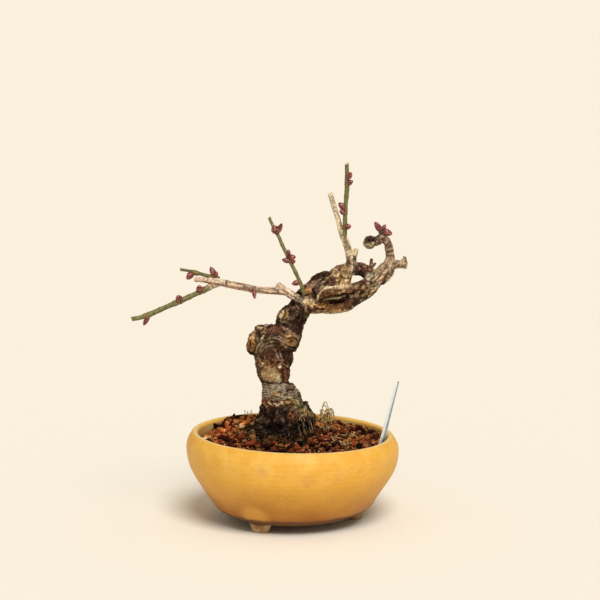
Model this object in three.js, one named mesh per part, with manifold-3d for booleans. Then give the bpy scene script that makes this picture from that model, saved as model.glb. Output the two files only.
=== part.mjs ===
// A Japanese apricot bonsai in winter: an old knobbly trunk with a twisted crown limb, a few cut-back
// branches, four green shoots with red flower buds, in a shallow yellow-glazed bowl on three feet.
// Millimetres, +Z up. It is modelled about the bowl's axis, with the feet on Z = 0 and the viewer at -Y,
// and the whole group is then shifted so that the middle of its footprint lies on the origin.
import * as THREE from 'three';
import { mergeVertices } from 'three/addons/utils/BufferGeometryUtils.js';
import Module from 'manifold-3d';

const wasm = await Module();
wasm.setup();

// Driving dimensions
const POT_DIAMETER = 150;        // a number five pot, five times about 3 cm
const POT_HEIGHT = 63.4;         // rim above the table, before it leans
const FOOT_HEIGHT = 5.9;
const WALL = 5;
const DRAIN_RADIUS = 8;
const SOIL_LEVEL = 57;           // where the soil meets the wall in front
const MOUND = 12;                // the soil's rise from there to the trunk's middle
const GAP = 0.3;                 // between pieces that touch

const SHELL = { sides: 48, outer: 9, inner: 6, lip: 4 };
const BOWL_RADIUS = POT_DIAMETER / 2;
const RIM_RADIUS = 69.4;
const FLOOR = FOOT_HEIGHT + WALL;
const SCREEN = { radius: 12, thick: 1, pitch: 3, hole: 1.8, reach: 8.6 };

const COLOUR = {
  glaze: '#e3a545', plastic: '#3b4038', soil: '#6b4024', bark: '#6d5844', shoot: '#6f7a3a', bud: '#9c3038',
  label: '#e4eef0',
};

// Joining, cutting and meshes
function solid(geometry) {
  const bare = new THREE.BufferGeometry();
  bare.setAttribute('position', geometry.getAttribute('position'));
  bare.setIndex(geometry.getIndex());
  const shared = mergeVertices(bare, 1e-4);
  const vertProperties = new Float32Array(shared.getAttribute('position').array);
  const triVerts = new Uint32Array(shared.getIndex().array);
  return new wasm.Manifold(new wasm.Mesh({ numProp: 3, vertProperties, triVerts }));
}

function joined(solids) {
  return solids.reduce((whole, piece) => whole.add(piece));
}

function meshOf(name, body, colour, roughness, metalness = 0) {
  const { vertProperties, triVerts } = body.getMesh();
  const geometry = new THREE.BufferGeometry();
  geometry.setAttribute('position', new THREE.BufferAttribute(new Float32Array(vertProperties), 3));
  geometry.setIndex(new THREE.BufferAttribute(new Uint32Array(triVerts), 1));
  geometry.computeVertexNormals();
  const material = new THREE.MeshStandardMaterial({ color: colour, roughness, metalness });
  const mesh = new THREE.Mesh(geometry, material);
  mesh.name = name;
  return mesh;
}

// A scattered number from 0 to 1 that is always the same at one place
function scatter(x, y, seed) {
  const wave = 43758.5 * Math.sin(12.99 * Math.round(10 * x) + 78.23 * Math.round(10 * y) + 37.72 * seed);
  return wave - Math.floor(wave);
}

const DOME_RINGS = [0.5, 0.85];  // heights of the rings in a rounded end, as parts of its radius

// A skin through rings of points, each ring with as many points as the next, closed at both ends by a tip
function skin(rings, firstTip, lastTip) {
  const sides = rings[0].length;
  const points = [...rings.flat(), firstTip, lastTip];
  const first = points.length - 2;
  const last = points.length - 1;
  const top = (rings.length - 1) * sides;
  const faces = [];
  for (let side = 0; side < sides; side += 1) {
    const next = (side + 1) % sides;
    faces.push(first, next, side, last, top + side, top + next);
    for (let row = 0; row < top; row += sides) {
      faces.push(row + side, row + next, row + sides + next);
      faces.push(row + side, row + sides + next, row + sides + side);
    }
  }
  const geometry = new THREE.BufferGeometry().setFromPoints(points);
  geometry.setIndex(faces);
  return solid(geometry);
}

// Wood grown along a smooth line through stations [x, y, z, radius], round, with flat or domed ends.
// swell moves its skin and both ends out, and shape(along, angle) is a factor on the radius, for ribs.
function grow(stations, { sides = 8, rows = 2, domed = false, swell = 0, shape = () => 1 } = {}) {
  const middles = stations.map(([x, y, z]) => new THREE.Vector3(x, y, z));
  const line = new THREE.CatmullRomCurve3(middles, false, 'centripetal');
  const girth = new THREE.SplineCurve(stations.map(([, , , r], i) => new THREE.Vector2(i, r)));
  const count = (stations.length - 1) * rows;
  const rings = [];
  const middle = new THREE.Vector3();
  const ahead = line.getTangent(0);
  const side = Math.abs(ahead.x) > 0.8 ? new THREE.Vector3(0, 1, 0) : new THREE.Vector3(1, 0, 0);
  const addRing = (radius, along) => {
    const across = new THREE.Vector3().crossVectors(ahead, side);
    rings.push(Array.from({ length: sides }, (_, i) => {
      const angle = (2 * Math.PI * i) / sides;
      const reach = radius * shape(along, angle);
      const spoke = side.clone().multiplyScalar(Math.cos(angle)).addScaledVector(across, Math.sin(angle));
      return spoke.multiplyScalar(reach).add(middle);
    }));
  };
  const firstTip = line.getPoint(0).addScaledVector(ahead, -swell);
  for (let i = 0; i <= count; i += 1) {
    const along = i / count;
    line.getTangent(along, ahead);
    side.addScaledVector(ahead, -side.dot(ahead)).normalize();
    middle.copy(i === 0 ? firstTip : line.getPoint(along));
    if (i === count) middle.addScaledVector(ahead, swell);
    addRing(girth.getPoint(along).y + swell, along);
  }
  if (!domed) return skin(rings, firstTip, middle);
  const [end, endRadius] = [middle.clone(), girth.getPoint(1).y + swell];
  for (const lift of DOME_RINGS) {
    middle.copy(end).addScaledVector(ahead, endRadius * lift);
    addRing(endRadius * Math.sqrt(1 - lift * lift), 1);
  }
  return skin(rings, firstTip, end.addScaledVector(ahead, endRadius));
}

// A knob: a lump of wood with radii [x, y, z]
function knob([x, y, z], [rx, ry, rz]) {
  return solid(new THREE.IcosahedronGeometry(1, 1).scale(rx, ry, rz).translate(x, y, z));
}

// A plump pointed flower bud from its seat to its tip, with the given greatest radius
function bud(seat, tip, radius) {
  const from = new THREE.Vector3(...seat);
  const span = new THREE.Vector3(...tip).sub(from);
  const profile = [[0, 0.6], [0.28, 1], [0.6, 0.98], [0.85, 0.6], [0.98, 0.15]];
  const at = (part) => from.clone().addScaledVector(span, part).toArray();
  return grow(profile.map(([part, girth]) => [...at(part), radius * girth]), { sides: 6, rows: 1 });
}

// The bowl

// A smooth line through points of radius and height
function splined(points) {
  return new THREE.SplineCurve(points.map(([radius, height]) => new THREE.Vector2(radius, height)));
}

// The wall's outside from the foot to just under the lip
function outerWall() {
  const [foot, waist] = [FOOT_HEIGHT, POT_HEIGHT - 11.4];
  const outline = splined([
    [45.5, foot], [53.6, foot + 4], [58.4, foot + 10], [65.1, foot + 20], [71.1, foot + 30],
    [73.6, foot + 36.1], [BOWL_RADIUS, waist], [74.2, waist + 5], [71.6, POT_HEIGHT - 1.6],
  ]);
  return outline.getPoints(SHELL.outer);
}

// The wall's inside from the lip down to the floor, kept clear by the given distance
function innerWall(clear = 0) {
  const outline = splined([
    [66.6 - clear, POT_HEIGHT - 1.9], [69.2 - clear, POT_HEIGHT - 6.5], [70 - clear, POT_HEIGHT - 12],
    [67.4 - clear, 42], [60 - clear, 26], [51.5 - clear, 15.5 + clear], [44 - clear, FLOOR + clear],
  ]);
  return outline.getPoints(SHELL.inner);
}

// How far a point of the hand-made wall sinks: the rim stands lower at the right than at the left
const RIM_LEAN = { drop: 0.9, slope: 0.027 };

function sink(x, z) {
  const share = THREE.MathUtils.clamp((z - FLOOR) / (POT_HEIGHT - FLOOR), 0, 1);
  return share * (RIM_LEAN.drop + RIM_LEAN.slope * x);
}

function turned(profile) {
  const round = new THREE.LatheGeometry(profile, SHELL.sides).rotateX(Math.PI / 2);
  const place = round.getAttribute('position');
  for (let i = 0; i < place.count; i += 1) place.setZ(i, place.getZ(i) - sink(place.getX(i), place.getZ(i)));
  return solid(round);
}

// The three feet: where they stand, and the half width and half depth of each level of a foot
const FEET = {
  azimuths: [-120, 0, 120].map(THREE.MathUtils.degToRad),
  radius: 44,
  sides: 12,
  levels: [[0, 5.6, 4.6], [1, 6.2, 5], [FOOT_HEIGHT - 1.5, 7.6, 5.6], [FOOT_HEIGHT + 2, 9.4, 6]],
};

function foot(azimuth) {
  const { radius, sides, levels } = FEET;
  const at = (outward, across, z) => new THREE.Vector3(radius + outward, across, z)
    .applyAxisAngle(new THREE.Vector3(0, 0, 1), azimuth);
  const rings = levels.map(([z, across, deep]) => Array.from({ length: sides }, (_, i) => {
    const angle = (2 * Math.PI * i) / sides;
    return at(deep * Math.cos(angle), across * Math.sin(angle), z);
  }));
  return skin(rings, at(0, 0, 0), at(0, 0, FOOT_HEIGHT + 2));
}

function pot() {
  const lipMiddle = new THREE.Vector2(RIM_RADIUS - 0.3, POT_HEIGHT - 2.1);
  const lip = Array.from({ length: SHELL.lip }, (_, i) => {
    const angle = (Math.PI * (i + 1)) / (SHELL.lip + 1);
    return new THREE.Vector2(lipMiddle.x + 2.5 * Math.cos(angle), lipMiddle.y + 2.1 * Math.sin(angle));
  });
  const hole = [new THREE.Vector2(DRAIN_RADIUS, FLOOR), new THREE.Vector2(DRAIN_RADIUS, FOOT_HEIGHT)];
  const profile = [...outerWall(), ...lip, ...innerWall(), ...hole];
  profile.push(profile[0].clone());
  return joined([turned(profile), ...FEET.azimuths.map(foot)]);
}

// A net of square holes over the drain hole, which keeps the soil in
function drainScreen() {
  const { radius, thick, pitch, hole, reach } = SCREEN;
  const middle = FLOOR + GAP + thick / 2;
  const round = new THREE.CylinderGeometry(radius, radius, thick, 24).rotateX(Math.PI / 2);
  const disc = solid(round.translate(0, 0, middle));
  const holes = [];
  for (let x = -2 * pitch; x <= 2 * pitch; x += pitch) {
    for (let y = -2 * pitch; y <= 2 * pitch; y += pitch) {
      if (Math.hypot(x, y) < reach) {
        holes.push(solid(new THREE.BoxGeometry(hole, hole, 3 * thick).translate(x, y, middle)));
      }
    }
  }
  return disc.subtract(joined(holes));
}

// The old wood

// The trunk's foot swells into a ring of roots, most at the soil and none higher up
function rootLobes(along, angle) {
  const low = Math.max(0, 1 - along / 0.42);
  const roots = 0.1 * Math.cos(5 * angle + 0.6) + 0.05 * Math.cos(3 * angle + 2);
  return 1 + low * roots + 0.025 * Math.cos(7 * angle);
}

function fluted(along, angle) {
  return 1 + 0.05 * Math.cos(4 * angle + 5 * along);
}

const LOWER_TRUNK = [
  [-7, 0, 42, 11], [-7, 0, 52, 15.5], [-7, 0, 64, 19.5], [-5.8, 0, 75, 19.4], [-7.6, 0, 80, 16.4],
  [-8, 0.3, 84.5, 14.3], [-10.9, 0.8, 89, 11.3], [-11.7, 1, 94, 9.8], [-12.6, 1.5, 99, 9.6],
  [-13.1, 1.5, 103.5, 10.7], [-14, 1.5, 108.5, 11.4], [-13.6, 1, 115, 12.9], [-14.2, 0.5, 121.5, 12.2],
  [-11.6, 0, 129.5, 14], [-10, -0.5, 134.5, 13.4], [-10, -0.5, 138.5, 9.5],
];
const UPPER_TRUNK = [
  [-7, 0, 124, 8.5], [-3.2, 0, 134, 9.2], [-1.5, 0.5, 142.5, 9.3], [2.3, 1, 147, 9.1],
  [6, 1.5, 152, 8.2], [8, 1, 158, 7.4], [10.5, 1, 162.5, 6.4],
];
const SWELLINGS = [
  [[-25.2, -2, 127], [6.8, 7.4, 8]],
  [[-27, -2, 123], [5.4, 6.6, 4.8]],
  [[-19, -3, 134.5], [7.5, 8, 5.6]],
  [[-3.6, -6.5, 130.2], [5.8, 6.2, 5.6]],
  [[-5.4, -1, 116.2], [5.8, 7, 6]],
  [[-4.6, -5.5, 146.2], [4.2, 4, 4.6]],
  [[-16.5, 10, 113], [5.5, 5.5, 6]],
  [[-6, 9.5, 135], [7, 6.5, 6]],
  [[-1.2, -7, 96.2], [3.2, 3.2, 2.8]],
  [[2, -9, 84], [4.6, 4.6, 6]],
  [[11, -6, 163.6], [2.8, 3.2, 3]],
  [[9.2, -6.6, 158.6], [3.6, 4, 3.6]],
  [[-24.4, -3, 137], [2.4, 3, 2.6]],
  [[78.2, -1, 186], [1.3, 1.4, 1.8]],
];

// Rolls of bark and bare wood that twist round the crown limb, from the trunk's top out to the right
const LIMB_ROLLS = [
  [[5, 2, 154, 7.4], [13.5, 2, 163.6, 6.2], [19, 2, 169.4, 6], [23, 2, 171.3, 5.4],
    [26.6, 2, 170.8, 5.1], [31.8, 2, 174.8, 5.2], [40.2, 2, 178, 4.4], [48.6, 2, 178, 4.2],
    [53, 1, 175.4, 4.4]],
  [[12.5, -4, 160, 4], [22.6, -6, 163.5, 3.2], [33.1, -6, 165.2, 2.9], [43.6, -5, 166.8, 3.2],
    [54, -2, 168.6, 4.6], [61.4, 0, 173.6, 5.4], [65.4, 1, 178.4, 5.2], [68.4, 2, 183, 4.2]],
  [[8, 2, 157, 6], [17.8, 1, 157.5, 4], [29.7, 1, 159.4, 3.4], [41.6, 0, 160.4, 3],
    [52, -1, 165.5, 3.4]],
  [[4.5, 0, 152, 6], [10, 0, 153, 6], [17.8, -1, 152, 4.4], [27.6, -2, 151, 3.6],
    [36.7, -2, 152.4, 3.6], [45.1, -2, 157.8, 3.6], [50.8, -2, 161.4, 3.8], [56.5, -1, 168, 4.4]],
  [[8, 5, 160, 6], [20, 7, 163, 4.8], [32, 7.5, 165, 4], [43, 6, 164, 3.4], [54, 3, 168.5, 3.6],
    [60, 2, 174.5, 4]],
  [[10, 2, 160, 6.5], [20, 1.5, 164.5, 5.6], [31, 1.5, 168, 4.6], [36.5, 0, 168.5, 3.6]],
  [[8, 4, 156, 5.5], [20, 5, 156, 4.4], [32, 4.5, 156.5, 3.8], [43, 2.5, 160, 3.5], [52, 0, 166, 3.4]],
  [[42, 1, 186.5, 2.8], [39.2, -1.5, 178.4, 3], [36.6, -4, 170.2, 3.6], [35, -4, 165.5, 3]],
];

const CURLED_TWIG = [
  [66.5, 2, 181, 4.2], [68.3, 2, 186.4, 3.1], [68, 3, 190.5, 2.9], [67.1, 4, 194.6, 2.8],
  [65.1, 5.5, 198.4, 2.8], [62.6, 6.5, 199.5, 3.6], [60.2, 7.4, 198.3, 3.4], [57.6, 8, 197.4, 3.6],
  [54.6, 8, 196.6, 4.8],
];
const LIMB_END = [[65.5, 2, 179.8, 4.4], [70, 1, 181.6, 3.4], [75.4, 0, 182.4, 3], [79.4, -1, 183, 3.7]];
const CROWN_BRANCH = [
  [40.6, 0.5, 178, 4.8], [41, 1, 184, 3.6], [38.8, 1, 192.1, 2.5], [36.5, 1, 199, 2.4],
  [34.8, 1, 202, 2.2], [33.5, 1, 206.2, 2], [31.8, 1, 213.2, 1.9], [29.6, 1, 220.2, 2],
  [27.5, 1, 227.2, 1.9], [26.1, 1, 232.1, 1.9],
];
const SIDE_STUB = [[42.2, 1, 181, 2.2], [43.2, 1, 186.5, 1.7], [44.7, 1, 193.2, 1.7]];
const SPUR = [[54, 1, 176, 2.2], [54.8, 0.8, 181, 1.7], [55.1, 0.4, 186.3, 1.4]];
const SPUR_FORK = [[55, 1, 179.5, 1.3], [58.4, 0, 183.2, 1.3]];
const CUT_STUB = [
  [8, -2, 155, 5], [4.6, -6, 158, 3.6], [-1.2, -8, 161.2, 2.6], [-10.5, -11, 169.4, 2.3],
];
const LEFT_BRANCH = [
  [0.5, -7.5, 161, 2.8], [-6, -9, 164.3, 2.7], [-15.7, -12, 165.3, 2.4], [-22.6, -13, 165.9, 2.4],
  [-29.5, -14, 167.1, 2.5], [-36.4, -14, 168.6, 2.55], [-43.4, -14, 169.9, 2.4],
  [-45.8, -14, 170.3, 2.7], [-48.4, -14, 170.9, 2.4], [-52, -14, 171.8, 2.5], [-55.8, -14, 172.5, 2.1],
  [-60.7, -13, 172.9, 1.95], [-68.1, -12, 173.2, 1.9],
];
const BRANCH_FORK = [[-47, -14, 171, 2.2], [-52.4, -14.3, 170.5, 2.4], [-56, -14.8, 169.1, 2.3]];
const OLD_WOOD_BUDS = [
  [[-26.8, -14, 165.6], [-26.2, -15.4, 160], 1.5],
  [[-28, -13.8, 166.6], [-29.4, -17.4, 165.2], 1.7],
];

// The green shoots, each from its seat on the old wood to its cut end, with its buds as seat, tip and radius

const CROWN_SHOOT = {
  name: 'shoot_crown',
  stem: [
    [36.2, 0.6, 202.2, 1.8], [36.5, 0, 209.8, 1.6], [36.7, -1.5, 220.5, 1.5], [37.2, -2.5, 227.6, 1.5],
    [37.8, -3.5, 236, 1.7], [37.8, -4, 241.6, 1.5], [37.5, -6, 253.2, 1.4],
  ],
  buds: [
    [[38, -4, 243], [40.6, -6.6, 247], 2.3],
    [[37.8, -3.8, 238.8], [41.8, -5.6, 241.2], 2],
    [[36.6, -1.6, 221.2], [31.2, -2.6, 226.2], 2.3],
    [[36.6, -1.4, 218.2], [32.8, -3.8, 220.6], 2.1],
    [[36.6, 0, 208.4], [40.6, -2.8, 209.4], 2.2],
  ],
};
const MIDDLE_SHOOT = {
  name: 'shoot_middle',
  stem: [
    [8.2, -9, 162, 1.4], [7.2, -9, 166, 1.35], [5.4, -8.4, 170.1, 1.3], [2.6, -7, 176.3, 1.3],
    [-1.1, -5, 183.7, 1.3], [-4.1, -3, 189.8, 1.3], [-6.9, -1, 195.2, 1.25], [-9.6, 1, 201.3, 1.2],
    [-12.2, 3, 206, 1.2], [-14.8, 5, 210.7, 1.1], [-16.4, 6, 214.4, 1.1],
  ],
  buds: [
    [[-11.6, 2.8, 205.4], [-12.6, -3.6, 208], 3],
    [[-10.6, 2, 204], [-7.4, 0, 211], 1.9],
    [[-3.5, -3.4, 188.4], [-2.6, -7.6, 193.2], 1.9],
    [[-2.9, -3.8, 187.2], [2.2, -5.8, 188.2], 2.2],
    [[-1.7, -4.8, 184.4], [0.3, -8.2, 186], 1.7],
    [[-1.9, -4.8, 185], [-8.6, -6.4, 186.6], 2],
    [[4.8, -8, 170.8], [-0.6, -9.8, 169.6], 2],
  ],
};
const LEFT_UPPER_SHOOT = {
  name: 'shoot_left_upper',
  stem: [
    [-50.8, -13.8, 174.1, 1.4], [-57.3, -12, 175.3, 1.35], [-64.3, -10, 176.8, 1.3],
    [-68, -8.8, 177.4, 1.7], [-71.4, -7.8, 178.4, 1.1], [-78.3, -5, 179.2, 1.05],
  ],
  buds: [
    [[-69.4, -8.8, 177.6], [-73.4, -12.8, 173.4], 2.4],
    [[-54, -12.6, 176], [-57, -12.6, 182], 2.1],
    [[-54.2, -12.8, 174.8], [-52.2, -14.6, 178.9], 1.9],
  ],
};
const LEFT_LOWER_SHOOT = {
  name: 'shoot_left_lower',
  stem: [
    [-56.8, -15, 168.7, 2.1], [-60, -15.9, 166.9, 2.1], [-64.1, -17, 165.1, 1.8],
    [-70.9, -19, 162.2, 1.75], [-77.7, -21, 159.3, 2], [-84.6, -22.5, 156.5, 1.75],
    [-91.4, -24, 153.7, 1.7], [-98.2, -25.5, 150.8, 1.85], [-105, -27, 148.7, 1.6],
    [-110.8, -28, 147.8, 1.55],
  ],
  buds: [
    [[-64.2, -17.2, 164.8], [-64.6, -20, 170.2], 2.4],
    [[-61.9, -16.4, 165.6], [-61.4, -17, 169.2], 1.6],
    [[-77.6, -21.2, 159.4], [-79, -25.4, 163.6], 2.5],
    [[-99, -26, 150], [-102.8, -26.6, 143], 1.8],
  ],
};
const SHOOTS = [CROWN_SHOOT, MIDDLE_SHOOT, LEFT_UPPER_SHOOT, LEFT_LOWER_SHOOT];

// The bunch of buds on the curled twig, on a short spur of its own
const BUD_BUNCH = {
  name: 'bud_bunch',
  stem: [[62.3, 6.6, 203.4, 1.9], [62, 6.6, 205.6, 1.7]],
  buds: [
    [[61.8, 6.6, 204.6], [57.4, 5.6, 211.4], 2.2],
    [[62.4, 6.8, 204.8], [65.2, 8.6, 209.2], 1.7],
    [[62.8, 6.4, 204.8], [69.8, 4.8, 202.8], 2.6],
  ],
};

// A stem with its buds fused on, every surface moved out by swell
function budded({ stem, buds }, swell = 0) {
  const wood = grow(stem, { sides: 8, rows: 1, swell });
  return joined([wood, ...buds.map(([seat, tip, radius]) => bud(seat, tip, radius + swell))]);
}

// A short collar of old wood that ends flat just under a stem's seat
function collar(stem) {
  const [start, next] = stem.slice(0, 2).map(([x, y, z]) => new THREE.Vector3(x, y, z));
  const ahead = next.sub(start).normalize();
  const radius = stem[0][3];
  const seat = start.clone().addScaledVector(ahead, -GAP);
  const root = start.clone().addScaledVector(ahead, -4.5);
  return grow([[...root, radius * 1.35], [...seat, radius * 1.1]], { sides: 8, rows: 1 });
}

function lowerTrunk(swell = 0) {
  return grow(LOWER_TRUNK, { sides: 20, rows: 2, shape: rootLobes, swell });
}

function trunk() {
  const upper = grow(UPPER_TRUNK, { sides: 14, rows: 2, shape: fluted });
  const rolls = LIMB_ROLLS.map((stations) => grow(stations, { sides: 8, rows: 1, domed: true }));
  const curl = grow(CURLED_TWIG, { rows: 1, domed: true });
  const cut = [LIMB_END, CROWN_BRANCH, SIDE_STUB, CUT_STUB, LEFT_BRANCH, BRANCH_FORK];
  const branches = cut.map((stations) => grow(stations, { rows: 1 }));
  const spurs = [SPUR, SPUR_FORK].map((stations) => grow(stations, { sides: 6, rows: 1 }));
  const buds = OLD_WOOD_BUDS.map(([seat, tip, radius]) => bud(seat, tip, radius));
  const knobs = SWELLINGS.map(([middle, radii]) => knob(middle, radii));
  const seated = [...SHOOTS, BUD_BUNCH];
  const collars = seated.map(({ stem }) => collar(stem));
  const stem = joined([lowerTrunk(), upper, ...knobs, ...rolls]);
  const grown = joined([stem, curl, ...branches, ...spurs, ...buds, ...collars]);
  return grown.subtract(joined(seated.map((part) => budded(part, GAP))));
}

// The soil

// Soil height at a point: a mound round the trunk, higher at the back, and heaped at the back on the left
const MOUND_MIDDLE = [-7, 0];
const MOUND_RADIUS = 58;
const BACK_RISE = 2.5;
const HEAP = { x: -42, y: 36, spread: 24, height: 2.4 };

function soilHeight(x, y) {
  const outward = Math.hypot(x - MOUND_MIDDLE[0], y - MOUND_MIDDLE[1]) / MOUND_RADIUS;
  const heap = HEAP.height * Math.exp(-((x - HEAP.x) ** 2 + (y - HEAP.y) ** 2) / HEAP.spread ** 2);
  const back = BACK_RISE * THREE.MathUtils.smoothstep(y, -10, 60);
  const level = SOIL_LEVEL + MOUND * Math.max(0, 1 - outward ** 1.3) + back + heap;
  return level - sink(x, level);
}

// A slab whose upper face is pushed up and aside at random, for the grains and the dips between them
const CRUMBS = { cells: 27, lift: 3.4, aside: 2.4, low: FOOT_HEIGHT };

function crumbledSlab() {
  const { cells, lift, aside, low } = CRUMBS;
  const slab = new THREE.BoxGeometry(POT_DIAMETER, POT_DIAMETER, 1, cells, cells, 1);
  const place = slab.getAttribute('position');
  for (let i = 0; i < place.count; i += 1) {
    const [x, y] = [place.getX(i), place.getY(i)];
    const top = soilHeight(x, y) + lift * (scatter(x, y, 0) - 0.4);
    const sideways = [1, 2].map((seed) => aside * (scatter(x, y, seed) - 0.5));
    if (place.getZ(i) > 0) place.setXYZ(i, x + sideways[0], y + sideways[1], top);
    else place.setZ(i, low);
  }
  return solid(slab);
}

function soil() {
  const clear = GAP + 0.1;
  const seat = FLOOR + 2 * GAP + SCREEN.thick;
  const bed = [
    new THREE.Vector2(0, seat), new THREE.Vector2(SCREEN.radius + GAP, seat),
    new THREE.Vector2(SCREEN.radius + GAP, FLOOR + clear), ...innerWall(clear).reverse(),
    new THREE.Vector2(66 - clear, POT_HEIGHT + 12), new THREE.Vector2(0, POT_HEIGHT + 12),
  ];
  return turned(bed).intersect(crumbledSlab()).subtract(lowerTrunk(GAP)).subtract(label(GAP));
}

// The plant label: a blank thin plastic strip, pushed into the soil by the rim, leaning out and twisted
// a little, from one turn about its length at the foot to another at the top
const LABEL = {
  foot: [57.4, -12.4, 36],
  top: [73.4, -15.4, 101],
  width: 10.5,
  thick: 0.9,
  turnLow: 61,
  turnHigh: 76,
  rows: 8,
};

function label(swell = 0) {
  const { width, thick, turnLow, turnHigh, rows } = LABEL;
  const [low, high] = [LABEL.foot, LABEL.top].map((point) => new THREE.Vector3(...point));
  const rings = Array.from({ length: rows + 1 }, (_, i) => {
    const part = i / rows;
    const middle = low.clone().lerp(high, part);
    const turn = THREE.MathUtils.degToRad(THREE.MathUtils.lerp(turnLow, turnHigh, part));
    const narrow = i === 0 ? 0.35 : 1;
    const [half, thin] = [(width * narrow) / 2 + swell, thick / 2 + swell];
    return [[-1, -1], [1, -1], [1, 1], [-1, 1]].map(([a, b]) => new THREE.Vector3(
      middle.x + a * half * Math.cos(turn) - b * thin * Math.sin(turn),
      middle.y + a * half * Math.sin(turn) + b * thin * Math.cos(turn),
      middle.z - (i === 0 ? swell : 0),
    ));
  });
  const middleOf = (ring) => ring[0].clone().add(ring[2]).multiplyScalar(0.5);
  return skin(rings, middleOf(rings[0]), middleOf(rings[rows]));
}

const bonsai = new THREE.Group();
bonsai.name = 'japanese_apricot_bonsai';
bonsai.add(meshOf('pot', pot(), COLOUR.glaze, 0.35));
bonsai.add(meshOf('drain_screen', drainScreen(), COLOUR.plastic, 0.6));
bonsai.add(meshOf('soil', soil(), COLOUR.soil, 0.95));
bonsai.add(meshOf('trunk', trunk(), COLOUR.bark, 0.9));
for (const part of SHOOTS) bonsai.add(meshOf(part.name, budded(part), COLOUR.shoot, 0.55));
bonsai.add(meshOf(BUD_BUNCH.name, budded(BUD_BUNCH), COLOUR.bud, 0.4));
bonsai.add(meshOf('label', label(), COLOUR.label, 0.4));

const footprint = new THREE.Box3().setFromObject(bonsai).getCenter(new THREE.Vector3());
bonsai.position.set(-footprint.x, -footprint.y, 0);

export default bonsai;
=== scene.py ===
"""A Japanese apricot bonsai in winter, in a yellow-glazed bowl.

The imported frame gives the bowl, the soil, the wood, the shoots and the label their places. This script
makes the surfaces that are seen on them: glaze, grains of clay, bark, bud scales, dry moss and lichen.
Lengths are millimetres from the bowl's axis at table level, until placed() turns them into metres.
"""
import itertools
import math

import bpy
import numpy as np
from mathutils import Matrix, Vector


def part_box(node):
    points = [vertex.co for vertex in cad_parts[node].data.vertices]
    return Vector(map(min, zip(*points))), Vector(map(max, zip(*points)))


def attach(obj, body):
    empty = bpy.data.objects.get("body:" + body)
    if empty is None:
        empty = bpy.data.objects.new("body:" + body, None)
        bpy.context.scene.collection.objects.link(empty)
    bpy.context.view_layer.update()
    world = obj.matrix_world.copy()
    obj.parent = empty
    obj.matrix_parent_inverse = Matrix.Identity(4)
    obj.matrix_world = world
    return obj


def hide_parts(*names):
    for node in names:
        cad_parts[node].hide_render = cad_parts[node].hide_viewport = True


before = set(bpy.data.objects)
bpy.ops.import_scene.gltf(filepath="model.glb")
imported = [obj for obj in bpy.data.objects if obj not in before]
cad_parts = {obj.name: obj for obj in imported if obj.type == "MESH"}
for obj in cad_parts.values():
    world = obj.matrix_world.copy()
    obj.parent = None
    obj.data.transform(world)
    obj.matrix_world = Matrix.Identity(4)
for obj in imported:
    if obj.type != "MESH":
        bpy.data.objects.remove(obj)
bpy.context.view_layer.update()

bl_info = {
    "name": "Winter bonsai",
    "version": (1, 0, 0),
    "blender": (4, 5, 0),
    "location": "3D View > Sidebar > Bonsai",
    "description": "Builds a Japanese apricot bonsai in a glazed bowl round its packed frame",
    "category": "Add Mesh",
}

MM = 0.001
TAU = 2 * math.pi


def frame_box(node):
    """The lowest and highest corner of a node of the frame, in millimetres."""
    return [np.array(corner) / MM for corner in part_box(node)]


POT_LOW, POT_HIGH = frame_box("pot")
AXIS = np.array([(POT_LOW[0] + POT_HIGH[0]) / 2, (POT_LOW[1] + POT_HIGH[1]) / 2, 0])
BOWL_RADIUS = (POT_HIGH[0] - POT_LOW[0]) / 2
RIM_HEIGHT = 63.4
FOOT_HEIGHT = 5.9
WALL = 5.0
FLOOR = FOOT_HEIGHT + WALL
DRAIN_RADIUS = 8.0
GAP = 0.4

# More than any distance that is measured here
FAR = 99.0


def placed(points):
    """Points about the bowl's axis in millimetres, in the frame's metres."""
    return (np.asarray(points, float) + AXIS) * MM


def linear(code):
    """A colour written as six hexadecimal digits, as the linear colour that shaders take."""
    parts = [int(code[i:i + 2], 16) / 255 for i in (0, 2, 4)]
    return tuple(c / 12.92 if c <= 0.04045 else ((c + 0.055) / 1.055) ** 2.4 for c in parts)


# Numbers on whole arrays

def unit(vectors):
    """The vectors, each made one long."""
    return vectors / np.maximum(np.linalg.norm(vectors, axis=-1, keepdims=True), 1e-9)


def eased(low, high, values):
    """0 below low, 1 above high, and a smooth S between them."""
    part = np.clip((values - low) / (high - low), 0, 1)
    return part * part * (3 - 2 * part)


def blended(below, above, share):
    """The way from one array to another, by a share from 0 to 1 at each point."""
    share = np.asarray(share)
    if share.ndim < np.ndim(below):
        share = share[..., None]
    return below + (np.asarray(above) - below) * share


def scattered(corners, seed):
    """A number from 0 to 1 for each whole-numbered corner, always the same for one corner and seed."""
    x, y, z = np.moveaxis(corners.astype(np.int64), -1, 0)
    mixed = (x * 73856093 ^ y * 19349663 ^ z * 83492791 ^ (seed + 1) * 49979687) & 0xFFFFFFFF
    mixed = ((mixed ^ mixed >> 15) * 2246822519) & 0xFFFFFFFF
    mixed = ((mixed ^ mixed >> 13) * 3266489917) & 0xFFFFFFFF
    return ((mixed ^ mixed >> 16) & 0xFFFFFF) / 0xFFFFFF


def noise(points, seed):
    """Smooth heights from -1 to 1: a random height at each corner of a unit cell, blended between the
    corners by an S curve along each axis."""
    cell = np.floor(points).astype(np.int64)
    part = points - cell
    share = part ** 3 * (part * (part * 6 - 15) + 10)
    total = np.zeros(points.shape[:-1])
    for corner in itertools.product((0, 1), repeat=3):
        weight = np.prod(np.where(corner, share, 1 - share), axis=-1)
        total += weight * scattered(cell + np.array(corner), seed)
    return 2 * total - 1


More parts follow.
